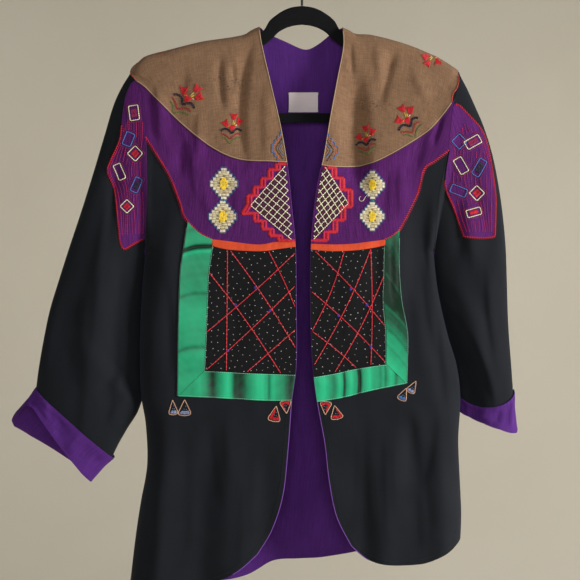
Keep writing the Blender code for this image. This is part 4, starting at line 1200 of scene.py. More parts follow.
def stitch_tree(materials):
    """Each edge of a mesh becomes one stitch: a thread that rises from the cloth and dips back in."""
    tree, inputs = new_tree("stitches", ("Rise", "Float", 0.35), ("Slack end", "Float", 0.3),
                            ("Rings", "Int", 4), ("Sides", "Int", 5))
    curve = add(tree, "GeometryNodeMeshToCurve", {"Mesh": inputs["Geometry"]}, 0)
    curve = add(tree, "GeometryNodeResampleCurve", {"Curve": curve, "Count": inputs["Rings"]}, 0)
    share = add(tree, "GeometryNodeSplineParameter", out="Factor")
    turn = add(tree, MATH, {0: share, 1: math.pi}, 0, operation="MULTIPLY")
    arch = add(tree, MATH, {0: turn}, 0, operation="SINE")
    wide = add(tree, "GeometryNodeInputNamedAttribute", {"Name": "wide"}, "Attribute")
    away = add(tree, "GeometryNodeInputNamedAttribute", {"Name": "out"}, "Attribute",
               data_type="FLOAT_VECTOR")
    rise = add(tree, MATH, {0: arch, 1: wide}, 0, operation="MULTIPLY")
    rise = add(tree, MATH, {0: rise, 1: inputs["Rise"]}, 0, operation="MULTIPLY")
    offset = add(tree, "ShaderNodeVectorMath", {0: away, "Scale": rise}, 0, operation="SCALE")
    curve = add(tree, "GeometryNodeSetPosition", {"Geometry": curve, "Offset": offset}, 0)
    thick = add(tree, MATH, {0: arch, 1: 0.4}, 0, operation="POWER")
    thick = add(tree, MATH, {0: thick, 1: inputs["Slack end"]}, 0, operation="MAXIMUM")
    thick = add(tree, MATH, {0: thick, 1: wide}, 0, operation="MULTIPLY")
    radius = add(tree, MATH, {0: thick, 1: 0.5}, 0, operation="MULTIPLY")
    curve = add(tree, "GeometryNodeSetCurveRadius", {"Curve": curve, "Radius": radius}, 0)
    section = add(tree, "GeometryNodeCurvePrimitiveCircle", {"Resolution": inputs["Sides"], "Radius": 1.0}, 0)
    links = {"Curve": curve, "Profile Curve": section, "Fill Caps": True, "Scale": radius}
    close_tree(tree, add(tree, "GeometryNodeCurveToMesh", links, 0), materials)
    return tree


def cord_tree(material):
    """Each chain of edges becomes a round cord or wire."""
    tree, inputs = new_tree("cord", ("Radius", "Float", 0.0008), ("Step", "Float", 0.002),
                            ("Sides", "Int", 10))
    curve = add(tree, "GeometryNodeMeshToCurve", {"Mesh": inputs["Geometry"]}, 0)
    links = {"Curve": curve, "Length": inputs["Step"]}
    curve = add(tree, "GeometryNodeResampleCurve", links, 0, mode="LENGTH")
    links = {"Resolution": inputs["Sides"], "Radius": inputs["Radius"]}
    section = add(tree, "GeometryNodeCurvePrimitiveCircle", links, 0)
    links = {"Curve": curve, "Profile Curve": section, "Fill Caps": True}
    close_tree(tree, add(tree, "GeometryNodeCurveToMesh", links, 0), [material])
    return tree


def spangle_tree(material):
    """Small domes scattered over a face, no two nearer than their spacing."""
    tree, inputs = new_tree("spangles", ("Spacing", "Float", 0.006), ("Size", "Float", 0.0006),
                            ("Density", "Float", 60000.0), ("Seed", "Int", 7))
    links = {"Mesh": inputs["Geometry"], "Distance Min": inputs["Spacing"], "Density Max": inputs["Density"],
             "Seed": inputs["Seed"]}
    places = add(tree, "GeometryNodeDistributePointsOnFaces", links, distribute_method="POISSON").outputs
    dome = add(tree, "GeometryNodeMeshUVSphere", {"Segments": 8, "Rings": 5, "Radius": inputs["Size"]}, 0)
    flatter = add(tree, "GeometryNodeTransform", {"Geometry": dome, "Scale": (1, 1, 0.3)}, 0)
    size = add(tree, "FunctionNodeRandomValue", {2: 0.75, 3: 1.2, "Seed": inputs["Seed"]}, 1)
    links = {"Points": places["Points"], "Instance": flatter, "Rotation": places["Rotation"], "Scale": size}
    close_tree(tree, add(tree, "GeometryNodeInstanceOnPoints", links, 0), [material])
    return tree


def grown(name, guide, tree, values):
    """The mesh that a tree makes from a guide, as a plain piece. values are its named inputs."""
    holder = bpy.data.objects.new(name + "_guide", guide)
    bpy.context.scene.collection.objects.link(holder)
    modifier = holder.modifiers.new("nodes", "NODES")
    modifier.node_group = tree
    named = {item.name: item.identifier for item in tree.interface.items_tree if item.in_out == "INPUT"}
    for label, value in values.items():
        modifier[named[label]] = value
    evaluated = holder.evaluated_get(bpy.context.evaluated_depsgraph_get())
    mesh = bpy.data.meshes.new_from_object(evaluated)
    mesh.name = name
    holder.modifiers.clear()
    bpy.data.objects.remove(holder)
    bpy.data.meshes.remove(guide)
    bpy.data.node_groups.remove(tree)
    if not mesh.polygons:
        raise RuntimeError(f"{name} came out empty")
    return ready(name, mesh, [])


def guide_mesh(name, points, edges, **columns):
    """Points in millimetres and edges, with an attribute for each named column."""
    mesh = bpy.data.meshes.new(name + "_guide")
    mesh.from_pydata((np.array(points) * MM).tolist(), [tuple(e) for e in edges], [])
    for label, values in columns.items():
        write_attribute(mesh, label, values)
    return mesh


def sew(name, on, stitches, rise=0.35, lift=0.12, sides=5):
    """Stitches laid on some pieces. Columns of a stitch: start x, start z, end x, end z, width, thread."""
    used = sorted({stitch[5] for stitch in stitches})
    ends = np.array([[stitch[:2], stitch[2:4]] for stitch in stitches], float).reshape(-1, 2)
    points, normals = laid(on, ends, lift)
    wide = np.repeat([stitch[4] * MM for stitch in stitches], 2)
    colour = np.repeat([used.index(stitch[5]) for stitch in stitches], 2)
    tint = np.repeat(np.random.default_rng(5).random(len(stitches)), 2)
    edges = [(2 * n, 2 * n + 1) for n in range(len(stitches))]
    guide = guide_mesh(name, points, edges, wide=wide, colour=colour, tint=tint, out=normals)
    materials = [thread(f"{key} cotton floss", THREADS[key]) for key in used]
    return grown(name, guide, stitch_tree(materials), {"Rise": rise, "Sides": sides})


def cords(name, paths, radius, material, sides=10, step=2.0):
    """Round cords along paths of points in millimetres."""
    points, edges = [], []
    for path in paths:
        first = len(points)
        points += [tuple(p) for p in path]
        edges += [(first + n, first + n + 1) for n in range(len(path) - 1)]
    guide = guide_mesh(name, points, edges, colour=np.zeros(len(points)), tint=np.full(len(points), 0.5))
    values = {"Radius": radius * MM, "Step": step * MM, "Sides": sides}
    return grown(name, guide, cord_tree(material), values)


# Ways to sew. A place is (x, z) and a line is a list of places.

def even(line, step, closed=False):
    """The line's places at about one step."""
    line = np.array(line, float)
    if closed:
        line = np.vstack([line, line[:1]])
    count = max(int(round(length_along(line)[-1] / step)), 1)
    return read(line, np.linspace(0, 1, count + 1))


def running(line, key, wide=1.0, step=3.0, fill=0.92, closed=False):
    """Stitches end to end along a line; fill is the share of each step that shows."""
    places = even(line, step, closed)
    gap = (1 - fill) / 2
    return [(*(a + (b - a) * gap), *(b - (b - a) * gap), wide, key) for a, b in zip(places, places[1:])]


def whipped(line, key, wide, step, reach, slant=0.0):
    """Stitches over a line, each slanted along it, or straight across."""
    places = even(line, step)
    stitches = []
    for a, b in zip(places, places[1:]):
        along = (b - a) / max(np.linalg.norm(b - a), 1e-6)
        over_it = np.array([along[1], -along[0]]) * reach + along * slant
        middle = (a + b) / 2
        stitches.append((*(middle - over_it), *(middle + over_it), wide, key))
    return stitches


# Columns: x, z.
MEDALLION_CROSS = [(-2.7, 9), (2.7, 9), (2.7, 5), (5.4, 5), (5.4, -5), (2.7, -5), (2.7, -9), (-2.7, -9),
                   (-2.7, -5), (-5.4, -5), (-5.4, 5), (-2.7, 5)]
MEDALLION_DOTS = [(0, 9.6), (-4.2, 6.2), (4.2, 6.2), (-6.2, 0.4), (6.2, 0.4), (-4.2, -6.2), (4.2, -6.2),
                  (0, -9.6), (-2.8, 1.8), (2.8, 1.8), (0, -3)]


def filled(outline, key, degrees=90.0, pitch=0.95, wide=1.1, longest=9.0):
    """A shape filled with close stitches that run at an angle from level."""
    outline = np.array(outline, float)
    turn = math.radians(degrees)
    along, beside = np.array([math.cos(turn), math.sin(turn)]), np.array([-math.sin(turn), math.cos(turn)])
    run, off = outline @ along, outline @ beside
    stitches = []
    for number, level in enumerate(np.arange(off.min() + pitch / 2, off.max(), pitch)):
        crossings = []
        for n in range(len(outline)):
            low, high = off[n - 1], off[n]
            if (low <= level) != (high <= level):
                share = (level - low) / (high - low)
                crossings.append(run[n - 1] + (run[n] - run[n - 1]) * share)
        crossings.sort()
        for start, end in zip(crossings[::2], crossings[1::2]):
            if end - start < 0.5:
                continue
            parts = max(math.ceil((end - start) / longest), 1)
            cuts = np.linspace(start, end, parts + 1)
            cuts[1:-1] += (0.2 if number % 2 else -0.2) * (end - start) / parts
            for a, b in zip(cuts, cuts[1:]):
                stitches.append((*(along * a + beside * level), *(along * b + beside * level), wide, key))
    return stitches


def placed(stitches, x, z, turn=0.0, mirror=1, scale=1.0):
    """A motif's stitches, turned and moved to their place."""
    cos, sin = math.cos(math.radians(turn)), math.sin(math.radians(turn))
    out = []
    for ax, az, bx, bz, wide, key in stitches:
        ax, bx = ax * mirror * scale, bx * mirror * scale
        az, bz = az * scale, bz * scale
        out.append((x + ax * cos - az * sin, z + ax * sin + az * cos, x + bx * cos - bz * sin,
                    z + bx * sin + bz * cos, wide, key))
    return out


# Motifs, drawn about (0, 0)

def thick(line, key, wide, step=2.8):
    """A line twice as wide as one thread, of two rows side by side."""
    line = even(fine(line), 1.4)
    rows = running(outward(line, wide * 0.24), key, wide * 0.62, step, 1.0)
    return rows + running(outward(line, -wide * 0.24), key, wide * 0.62, step, 1.0)


def sprig():
    """Four red blossoms on short cream stems, over three lines like an open book."""
    stitches = []
    for x, z, lean, wide, tall in SPRIG_BLOSSOMS:
        blossom = [(-wide / 2, tall / 2), (0, tall * 0.42), (wide / 2, tall / 2), (wide * 0.2, -tall / 2),
                   (-wide * 0.2, -tall / 2)]
        stitches += placed(filled(blossom, "red", 90, 0.95, 1.4), x, z, lean)
    for start_x, start_z, end_x, end_z, key in SPRIG_STEMS:
        stitches += [(start_x, start_z, end_x, end_z, 1.15, key)]
    for key, wide, line in SPRIG_LINES:
        stitches += thick(line, key, wide)
    return stitches


def medallion():
    """A stepped diamond: a pale rim, rows of tan and cream inside, and a yellow cross with dark dots."""
    step_x, step_z, levels, rim = 3.7, 4.4, 5, 4.5
    heights = [step_z * (levels - n) for n in range(levels)]
    stitches = []
    for n, tall in enumerate(heights):
        for x in np.arange(n * step_x + 0.35, (n + 1) * step_x, 0.74):
            for a, b in ((1, 1), (1, -1), (-1, 1), (-1, -1)):
                stitches.append((a * x, b * tall, a * x, b * max(tall - rim, 0), 0.95, "white"))
    for number, z in enumerate(np.arange(-heights[0] + rim, heights[0] - rim + 0.1, 0.8)):
        reach = step_x * sum(tall - rim > abs(z) for tall in heights)
        if reach < 1:
            continue
        parts = np.linspace(-reach, reach, max(int(reach / 3.4), 1) + 1) + (1.3 if number % 2 else -1.3)
        parts[0], parts[-1] = -reach - 0.6, reach + 0.6
        stitches += [(a, z, b, z, 0.95, "sand" if (number + n) % 3 else "cream")
                     for n, (a, b) in enumerate(zip(parts, parts[1:]))]
    corner = []
    for n, tall in enumerate(heights):
        corner += [(n * step_x, tall), ((n + 1) * step_x, tall)]
    corner = [(x * 1.03 + 0.7, z * 1.03 + 0.7) for x, z in corner] + [(levels * step_x + 1.3, 0.0)]
    outline = corner + [(x, -z) for x, z in corner[::-1][1:]]
    outline += [(-x, -z) for x, z in corner[1:]] + [(-x, z) for x, z in corner[::-1][1:]]
    stitches += running(outline, "sea", 1.05, 2.4, 0.9)
    stitches += filled(MEDALLION_CROSS, "yellow", 90, 0.95, 1.7)
    return stitches + [(x - 1.0, z, x + 1.0, z, 1.3, "black") for x, z in MEDALLION_DOTS]


# From the outer line in. Columns: half width, thread, its width.
STAR_LINES = [(15.5, "blue", 1.5), (13.4, "orange", 0.9), (9.6, "navy", 1.0), (6.0, "blue", 1.2),
              (3.0, "tan", 1.0)]


def half_star(side):
    """Half a stepped star at the front edge, in blue, orange and navy lines."""
    stitches, levels = [], 4
    for size, key, wide in STAR_LINES:
        line = []
        for n in range(levels):
            tall = size * 1.45 * (1 - n / levels)
            line += [(size * n / levels, tall), (size * (n + 1) / levels, tall)]
        line.append((size, 0))
        stitches += running(line + [(x, -z) for x, z in line[::-1][1:]], key, wide, 2.3, 0.94)
    return placed(stitches, 0, 0, mirror=AWAY[side])


def petal(wide, tall, key, first, last):
    """A petal with its tip up: a cream outline round a band of colour, over its foot or up one side."""
    right = [(0, 0.5), (0.17, 0.24), (0.34, -0.06), (0.48, -0.3), (0.42, -0.44), (0.22, -0.46), (0, -0.5)]
    left = [(-x, z) for x, z in right[-2:0:-1]]
    shape = even(fine(np.array(right + left + [right[0]]) * np.array([wide, tall]), 6), 1.3)
    stitches = running(shape, "blush", 1.4, 2.4, 1.0)
    low, high = int(first * len(shape)), int(last * len(shape))
    outer, inner = shape * 0.84, shape * 0.4 + np.array([0.06 * wide, -0.02 * tall])
    band = np.vstack([outer[low:high], inner[low:high][::-1]])
    stitches += filled(band, key, 20, 0.95, 1.3, 7)
    for x, z in ((0.1, 0.1), (-0.03, -0.08), (0.14, -0.1)):
        stitches.append((x * wide - 0.5, z * tall, x * wide + 0.5, z * tall, 1.0, "grey"))
    return stitches


def outward(line, distance):
    """The line moved to its own side: to the left of the way it runs for a distance above 0."""
    line = np.array(line, float)
    run = unit(np.gradient(line, axis=0))
    return line + np.stack([-run[:, 1], run[:, 0]], axis=1) * distance


# Columns: x, z, lean in degrees, width, height.
SPRIG_BLOSSOMS = [
    (2.8, 15, -4, 9.8, 9.4), (-8.2, 5.6, 28, 10, 9.8), (9.8, 8.4, -30, 10, 9.8), (0, 0, 0, 9.8, 9),
]
# Columns: start x, start z, end x, end z, thread.
SPRIG_STEMS = [(1.0, 4.2, 2.4, 10.2, "yellow"), (-1.8, 3.4, -5.2, 1.6, "yellow"),
               (2.8, 3.4, 7.0, 3.6, "cream"), (2.2, 3.8, 4.4, 7.4, "yellow")]
# Columns: thread, width, places.
SPRIG_LINES = [
    ("navy", 2.9, [(-15.3, -4.4), (-12, -2), (-7.7, -1.3), (-4, -3.8), (-0.8, -8), (2.4, -4.8), (5.7, -1.6),
                   (9.5, -2.3), (12.7, -4.6)]),
    ("brick", 2.1, [(-14.7, -7.3), (-8.6, -10.2), (-2.4, -15.4), (1, -12), (5.2, -8.6), (8, -8.2),
                    (11.6, -10)]),
    ("olive", 1.8, [(-14.2, -12.2), (-9.4, -13.8), (-3.4, -21.8), (0, -18), (4, -14.9), (8, -14),
                    (12.2, -13.4)]),
]
# Columns: x, z, turn in degrees, scale.
SPRIGS = {
    "left": [(-156, -202, -34, 1.24), (-95, -241.5, 2, 1.0), (-194, -121, 186, 1.0)],
    "right": [(87, -257, 12, 0.98), (142.5, -232, 34, 1.14), (181, -141, 150, 1.0)],
}
MEDALLIONS = {"left": [(-105.8, -317.8), (-107.2, -362.2)], "right": [(95, -319.5), (94.5, -362)]}
MEDALLION_SCALE = {"left": 0.98, "right": 0.88}
STARS = {"left": -270, "right": -273}  # z at the front edge
# The net of couched threads in a diamond beside each front edge: tip, top and bottom, as x, z.
DIAMOND = {
    "left": ((-69.5, -347.2), (-22, -293), (-13, -394.5)),
    "right": ((62, -344.5), (30, -294), (12, -396.5)),
}
DIAMOND_CELLS = 9
# The stepped border beside each net, from its top down. Columns: x, z.
BORDER = {
    "left": [(-22, -291), (-35, -291), (-35, -299), (-45, -299), (-45, -311), (-55, -311), (-55, -322.5),
             (-65, -322.5), (-65, -334), (-73.5, -334), (-73.5, -346), (-81, -358), (-64.5, -357.5),
             (-64.5, -368), (-53.8, -368), (-53.8, -379), (-43.5, -379), (-43.5, -388), (-32, -388),
             (-32, -394.5), (-14, -394.5)],
    "right": [(34, -296), (45, -296), (45, -310), (55.8, -310), (55.8, -326), (66.6, -326), (66.6, -349),
              (57, -349), (57, -367), (46.2, -367), (46.2, -383), (34, -383), (34, -394.5), (16, -394.5)],
}
# Columns: x, z, turn, width, height, thread, and the shares round the petal where its band runs.
PETALS = {
    "left": [
        (-36.8, -628, -10, 17, 21, "red", 0.28, 0.96), (-22, -618.6, 186, 15.5, 17.5, "red", 0.04, 0.72),
        (-173.8, -619.4, 4, 12.5, 20, "grey", 0.36, 0.64),
        (-158.3, -619.8, 0, 17.5, 21.5, "grey", 0.33, 0.67),
    ],
    "right": [
        (31.4, -620, 176, 15.5, 18, "red", 0.28, 0.96), (45.3, -626, 12, 17, 19, "red", 0.04, 0.72),
        (136.4, -601.6, -24, 13, 18, "blue", 0.33, 0.67),
        (148.7, -591.7, -30, 12.5, 18, "grey", 0.33, 0.67),
    ],
}
# Couched threads on each panel. Columns: start x, start z, end x, end z, bow to its side.
COUCHED = {
    "left": [(-100.6, -405, -102, -571, 0), (-100, -404, -5, -546, 3), (-48, -404, -5, -496, 2),
             (-130, -432, -29, -573, 3), (-131, -520, -4, -406, -2), (-131, -570.5, -4, -450, -2),
             (-76, -573, -4, -510, 0)],
    "right": [(92.2, -404, 92.2, -566, 2), (10, -402, 115, -514, 3), (11, -462, 115, -562, 3),
              (12, -516, 78, -571, 2), (13, -517, 58, -404, -4), (13, -567, 94, -402, -5),
              (42, -575, 114, -433, -4)],
}
# Columns: x, z.
KNOTS = {
    "left": [(-63.4, -457.9), (-90, -481.4), (-43.4, -489), (-100.2, -542.7)],
    "right": [(65.1, -460.1), (48.7, -495.6), (86.9, -481.4), (92.2, -538.3)],
}


def under_shoulder(side, x, z):
    return z < SHOULDER_Z[side](x) - 1.2


STAR_FOOT = -287  # z below which the band covers the half stars


def embroider_yokes():
    for side in SIDES:
        stitches, away = [], AWAY[side]
        for x, z, turn, scale in SPRIGS[side]:
            stitches += placed(sprig(), x, z, turn, scale=scale)
        stitches = [s for s in stitches if all(under_shoulder(side, s[n], s[n + 1]) for n in (0, 2))]
        edge = float(EDGE_X[side](STARS[side])) + away * 2
        star = [s for s in placed(half_star(side), edge, STARS[side]) if away * s[0] > away * (edge - 1)]
        stitches += [s for s in star if STAR_FOOT < min(s[1], s[3]) <= max(s[1], s[3]) < 0]
        sew(f"yoke_embroidery_{side}", [f"yoke_{side}"], stitches)


def diamond_stitches(side):
    """The net of couched threads with its filled cells, and the stepped border beside it."""
    tip, top, foot = (np.array(p, float) for p in DIAMOND[side])
    away, count = AWAY[side], DIAMOND_CELLS
    up, down = (top - tip) / count, (foot - tip) / count

    def in_bounds(place):
        low, high = foot[1] + 1, top[1] - 1
        return away * (place[0] - EDGE_X[side](place[1])) > 2.6 and low < place[1] < high

    def net_line(start, way):
        places = [start]
        while in_bounds(places[-1] + way * 0.1):
            places.append(places[-1] + way * 0.1)
        return places

    stitches = []
    for n in range(2 * count):
        for m in range(2 * count):
            centre = tip + up * (n + 0.5) + down * (m + 0.5)
            if all(in_bounds(place) for place in (centre + up * 0.3, centre - down * 0.3, centre)):
                corners = ((1, 1), (1, -1), (-1, -1), (-1, 1))
                cell = [centre + (up * a + down * b) * 0.34 for a, b in corners]
                stitches += filled(cell, "maroon", 90, 1.15, 1.25)
    for n in range(count + 1):
        for start, way in ((tip + down * n, up), (tip + up * n, down)):
            line = net_line(start, way)
            if len(line) > 6:
                stitches += running(line, "cream", 1.55, 3.4, 1.0)
    steps = [(x, z) for x, z in BORDER[side] if away * (x - EDGE_X[side](z)) > 1.5]
    stitches += whipped(steps, "red", 1.3, 0.9, 2.6)
    return stitches + whipped([(x - away * 4.7, z) for x, z in steps], "crimson", 1.3, 0.9, 1.8)


# The curl beside the right medallions, from their middle in x. Columns: x, z.
CURL = [(-4, -330), (-9, -335), (-13, -341), (-17, -341), (-18, -337), (-16, -335)]


def embroider_bands():
    for side in SIDES:
        on = [f"band_{side}", f"front_{side}", f"yoke_{side}", f"binding_{side}"]
        stitches = diamond_stitches(side)
        places = MEDALLIONS[side]
        for x, z in places:
            stitches += placed(medallion(), x, z, scale=MEDALLION_SCALE[side])
        middle = (places[0][1] + places[1][1]) / 2
        x = places[0][0]
        stitches += running([(x - 2, middle), (x + 2, middle)], "teal", 1.6, 2.0)
        stitches += running([(x, middle - 2.2), (x, middle + 2.2)], "teal", 1.6, 2.0)
        if side == "right":
            stitches += running(fine([(x + across, z) for across, z in CURL]), "cream", 0.8, 1.6, 1.0)
        sew(f"band_embroidery_{side}", on, stitches)
        border = fine(BAND_EDGE[side])
        edge = whipped(border, "red", 1.5, 3.1, 1.7, 1.2) + running(border, "red", 1.2, 3.1, 1.0)
        edge += running(outward(border, AWAY[side] * 2.3), "magenta", 0.8, 3.0, 0.8)
        sew(f"band_edging_{side}", on, edge)


def make_spangles():
    sizes = settings().sizes
    for number, side in enumerate(SIDES):
        panel = bpy.data.objects[f"panel_{side}_cloth"].data
        half = len(panel.vertices) // 2
        faces = [list(p.vertices) for p in panel.polygons if max(p.vertices) < half]
        guide = bpy.data.meshes.new("spangles_guide")
        guide.from_pydata([tuple(v.co) for v in panel.vertices[:half]], [], faces)
        write_attribute(guide, "tint", np.full(half, 0.9))
        values = {"Spacing": sizes.spangle_spacing, "Size": sizes.spangle_size / 2, "Seed": 11 + number}
        grown(f"spangles_{side}", guide, spangle_tree(thread("white sewn dots", "#f2f0ea")), values)


def in_panel(side, place):
    """Whether a place is on the spangled panel, a little inside its edges."""
    x, z = place
    away, outer_x = AWAY[side], over(FRAME_INNER[side], axis=1)(z)
    if not over(FRAME_HEAD[side])(x) + 1.0 < z < over(BINDING_FOOT[side])(x) - 1.0:
        return False
    return away * (x - EDGE_X[side](z)) > 1.5 and away * (outer_x - x) > 1.0


def couch_panels():
    for side in SIDES:
        stitches = []
        for start_x, start_z, end_x, end_z, bow in COUCHED[side]:
            start, end = np.array([start_x, start_z]), np.array([end_x, end_z])
            beside = np.array([start_z - end_z, end_x - start_x]) / np.linalg.norm(end - start)
            line = [start + (end - start) * t + beside * bow * math.sin(math.pi * t)
                    for t in np.linspace(0, 1, 120)]
            line = [place for place in line if in_panel(side, place)]
            if len(line) > 5:
                stitches += running(line, "scarlet", 1.25, 2.7, 0.97)
                stitches += [(*(a - beside * 0.8), *(a + beside * 0.8), 0.7, "rose")
                             for a in even(line, 5.4)[1:-1]]
        for x, z in KNOTS[side]:
            for turn in np.radians(range(0, 180, 30)):
                way_x, way_z = 2.2 * math.cos(turn), 2.2 * math.sin(turn)
                stitches.append((x - way_x, z - way_z, x + way_x, z + way_z, 1.5, "indigo"))
        sew(f"couching_{side}", [f"panel_{side}", f"front_{side}"], stitches)


def edge_frames():
    """Pale thread along the satin's folded edges."""
    for side in SIDES:
        away = AWAY[side]
        outer, inner = fine(FRAME_OUTER[side])[4:], fine(FRAME_INNER[side])
        head, foot = cut_at_edge(side, FRAME_HEAD[side]), cut_at_edge(side, FRAME_FOOT[side])
        stitches = []
        for line, distance in ((outer, 0.9), (inner, -0.9), (head, 1.0), (foot, -1.0)):
            stitches += running(outward(line, away * distance), "mint", 0.62, 2.6, 0.8)
        on = [f"frame_side_{side}", f"frame_foot_{side}", f"front_{side}", f"panel_{side}"]
        sew(f"satin_edging_{side}", on, stitches)


def embroider_petals():
    for side in SIDES:
        stitches = []
        for x, z, turn, wide, tall, key, first, last in PETALS[side]:
            stitches += placed(petal(wide, tall, key, first, last), x, z, turn)
        sew(f"petals_{side}", [f"front_{side}"], stitches)


EDGING_STARTS = {"left": -236, "right": -205}  # z from which red stitches cover the patch's outer side
# Generic blocks on the sleeves' patches. Columns: share across, share down, half width, half height,
# turn, thread, thread inside or nothing.
BLOCKS = {
    "left": [(0.52, 0.2, 6.5, 10, 8, "cream", "magenta"), (0.34, 0.36, 6, 9, -22, "blue", None),
             (0.66, 0.46, 7.5, 7.5, 45, "cream", "red"), (0.3, 0.57, 5, 11, 24, "cream", None),
             (0.68, 0.66, 5, 10, -24, "blue", "navy"), (0.34, 0.79, 6.5, 6.5, 45, "cream", "red")],
    "right": [(0.36, 0.31, 11, 6, 30, "cream", "magenta"), (0.72, 0.29, 7.5, 7.5, 45, "blue", None),
              (0.28, 0.5, 5.5, 12, -30, "blue", "navy"), (0.68, 0.47, 6, 11, 30, "cream", None),
              (0.4, 0.68, 7.5, 7.5, 45, "cream", "red"), (0.76, 0.65, 11, 5.5, -22, "blue", None),
              (0.56, 0.82, 10, 5, 16, "cream", "red")],
}


def patch_place(side, across, down):
    """A place by its shares across and down a patch."""
    lines = patch_lines(side)
    outer, inner = read(lines["outer"], [down])[0], read(lines["inner"], [down])[0]
    return outer + (inner - outer) * across


def clear_of_blocks(side, place):
    """Whether a place is outside every block of the patch."""
    for across, down, half_width, half_height, *_ in BLOCKS[side]:
        middle = patch_place(side, across, down)
        if np.linalg.norm(np.array(place) - middle) < (half_width + half_height) / 2 + 3.4:
            return False
    return True


def edging(line):
    """Red stitches over a patch's edge and along it."""
    return whipped(line, "red", 1.4, 3.1, 1.6, 1.1) + running(line, "red", 1.1, 3.1, 1.0)


def embroider_patches():
    for side in SIDES:
        stitches, patch = [], PATCH[side]
        for across, down, half_width, half_height, turn, key, inside in BLOCKS[side]:
            x, z = patch_place(side, across, down)
            corners = [(-1, 1), (1, 1), (1, -1), (-1, -1)]
            block = [(half_width * a, half_height * b) for a, b in corners]
            motif = running(block, key, 1.6, 2.6, 1.0, closed=True)
            echo = [(a + math.copysign(2.6, a), b + math.copysign(2.6, b)) for a, b in block]
            motif += running(echo, "plum", 0.95, 2.6, 0.9, closed=True)
            if inside:
                motif += filled([(a * 0.6, b * 0.6) for a, b in block], inside, 90, 1.1, 1.2, 7)
            stitches += placed(motif, x, z, turn)
        for number, share in enumerate(np.arange(0.09, 0.94, 0.085)):
            rows = np.linspace(0.16 + 0.3 * abs(share - 0.5), 0.965, 60)
            line = [patch_place(side, share + 0.035 * math.sin(9 * down + 0.7 * number), down)
                    for down in rows]
            key = "magenta" if number % 3 else "crimson"
            stitches += [s for s in running(line, key, 0.95, 3.0, 0.85)
                         if clear_of_blocks(side, s[:2]) and clear_of_blocks(side, s[2:4])]
        sew(f"patch_embroidery_{side}", [f"patch_{side}"], stitches)
        line = np.vstack([fine(patch["outer"]), fine(patch["foot"])[1:]])
        if side == "right":
            line = np.vstack([patch["top"][::-1], line[1:]])
        rim = edging(line[line[:, 1] < EDGING_STARTS[side]])
        if side == "right":
            rim += edging(fine(patch["inner"])[40:])
        sew(f"patch_edging_{side}", [f"patch_{side}", f"sleeve_{side}"], rim)


def pipe_edges():
    """The yoke's rolled seam and edge, and the lining that shows along the fronts."""
    for side in SIDES:
        away = AWAY[side]
        end = fine(YOKE_END[side])
        on = [f"yoke_{side}", f"band_{side}", f"front_{side}", f"panel_{side}", f"frame_foot_{side}"]
        seam = cut_at_edge(side, YOKE_SEAM[side])
        seam = seam[away * seam[:, 0] < away * end[-1, 0]]
        edge = edge_line(side, -108, seam[-1][1], 120)
        edge[:, 0] += away * 0.5
        seam[:, 1] += 0.9
        paths = [laid(on, seam, 0.1)[0], laid(on, edge, 0.1)[0]]
        cords(f"yoke_piping_{side}", paths, 0.65, thread("rolled linen edge", "#b89a7c"))
        under = running(outward(seam, away * 1.7), "maroon", 0.9, 3.0, 0.95)
        sew(f"yoke_seam_{side}", on, under)
        if side == "left":
            end = end[:len(end) // 2]
        tip = whipped(end, "brick", 1.3, 2.6, 1.5, 1.0) + running(end, "coral", 1.0, 2.6, 1.0)
        sew(f"yoke_end_{side}", [f"yoke_{side}"], tip)
        lower = fine(FRONT_EDGE[side])
        lower = lower[lower[:, 1] < seam[-1][1] - 1]
        lower = np.vstack([lower, fine(HEM[side])[::-1][1:14]])
        lower[:, 0] += away * 0.35
        path = laid([f"front_{side}"], lower, -0.5)[0]
        cords(f"lining_edge_{side}", [path], 0.7, thread("rolled purple edge", "#7440a0"))


TOPSTITCH_TOP = -616  # z from which it shows down each front edge


def topstitch():
    """Black thread a little inside the fronts' lower edges, hems and armholes."""
    for side in SIDES:
        away = AWAY[side]
        edge = fine(FRONT_EDGE[side])
        whole = np.vstack([edge[edge[:, 1] < TOPSTITCH_TOP], fine(HEM[side])[::-1][1:]])
        arm = fine(ARMHOLE[side])
        arm = arm[arm[:, 1] < BAND_EDGE[side][0][1] - 4]
        stitches = running(outward(even(whole, 4.0), away * 6.0), "black", 0.6, 3.2, 0.75)
        stitches += running(outward(arm, away * 4.0), "black", 0.6, 3.2, 0.75)
        sew(f"topstitching_{side}", [f"front_{side}"], stitches)


def tack_label():
    """Three short stitches over each of the label's corners."""
    low_x, high_x, low_z, high_z = LABEL_PLACE
    ends = []
    for x, z in ((low_x, low_z), (high_x, low_z), (low_x, high_z), (high_x, high_z)):
        inward, up = (1 if x < 0 else -1), (1 if z < (low_z + high_z) / 2 else -1)
        for n in range(3):
            level = z + up * (0.6 + 1.1 * n)
            ends += [(x - inward * 1.2, level), (x + inward * 1.6, level)]
    points = []
    for x, z in ends:
        hit = OUTER_FACES["label"].find_nearest(Vector((x, 5, z)))[0]
        points.append((x, hit.y - 0.15, z))
    count = len(ends)
    guide = guide_mesh("label_tacks", points, [(n, n + 1) for n in range(0, count, 2)],
                       wide=np.full(count, 0.6 * MM), colour=np.zeros(count), tint=np.full(count, 0.5),
                       out=np.tile([0, -1.0, 0], (count, 1)))
    tree = stitch_tree([thread("white cotton floss", THREADS["white"])])
    grown("label_tacks", guide, tree, {"Rise": 0.3})


def loop_faces(columns, rows):
    """The faces of a grid of points that is closed both ways."""
    i, j = np.meshgrid(np.arange(columns), np.arange(rows), indexing="ij")
    here, there, beside = i * rows, (i + 1) % columns * rows, (j + 1) % rows
    return np.stack([here + j, there + j, there + beside, here + beside], axis=-1).reshape(-1, 4)


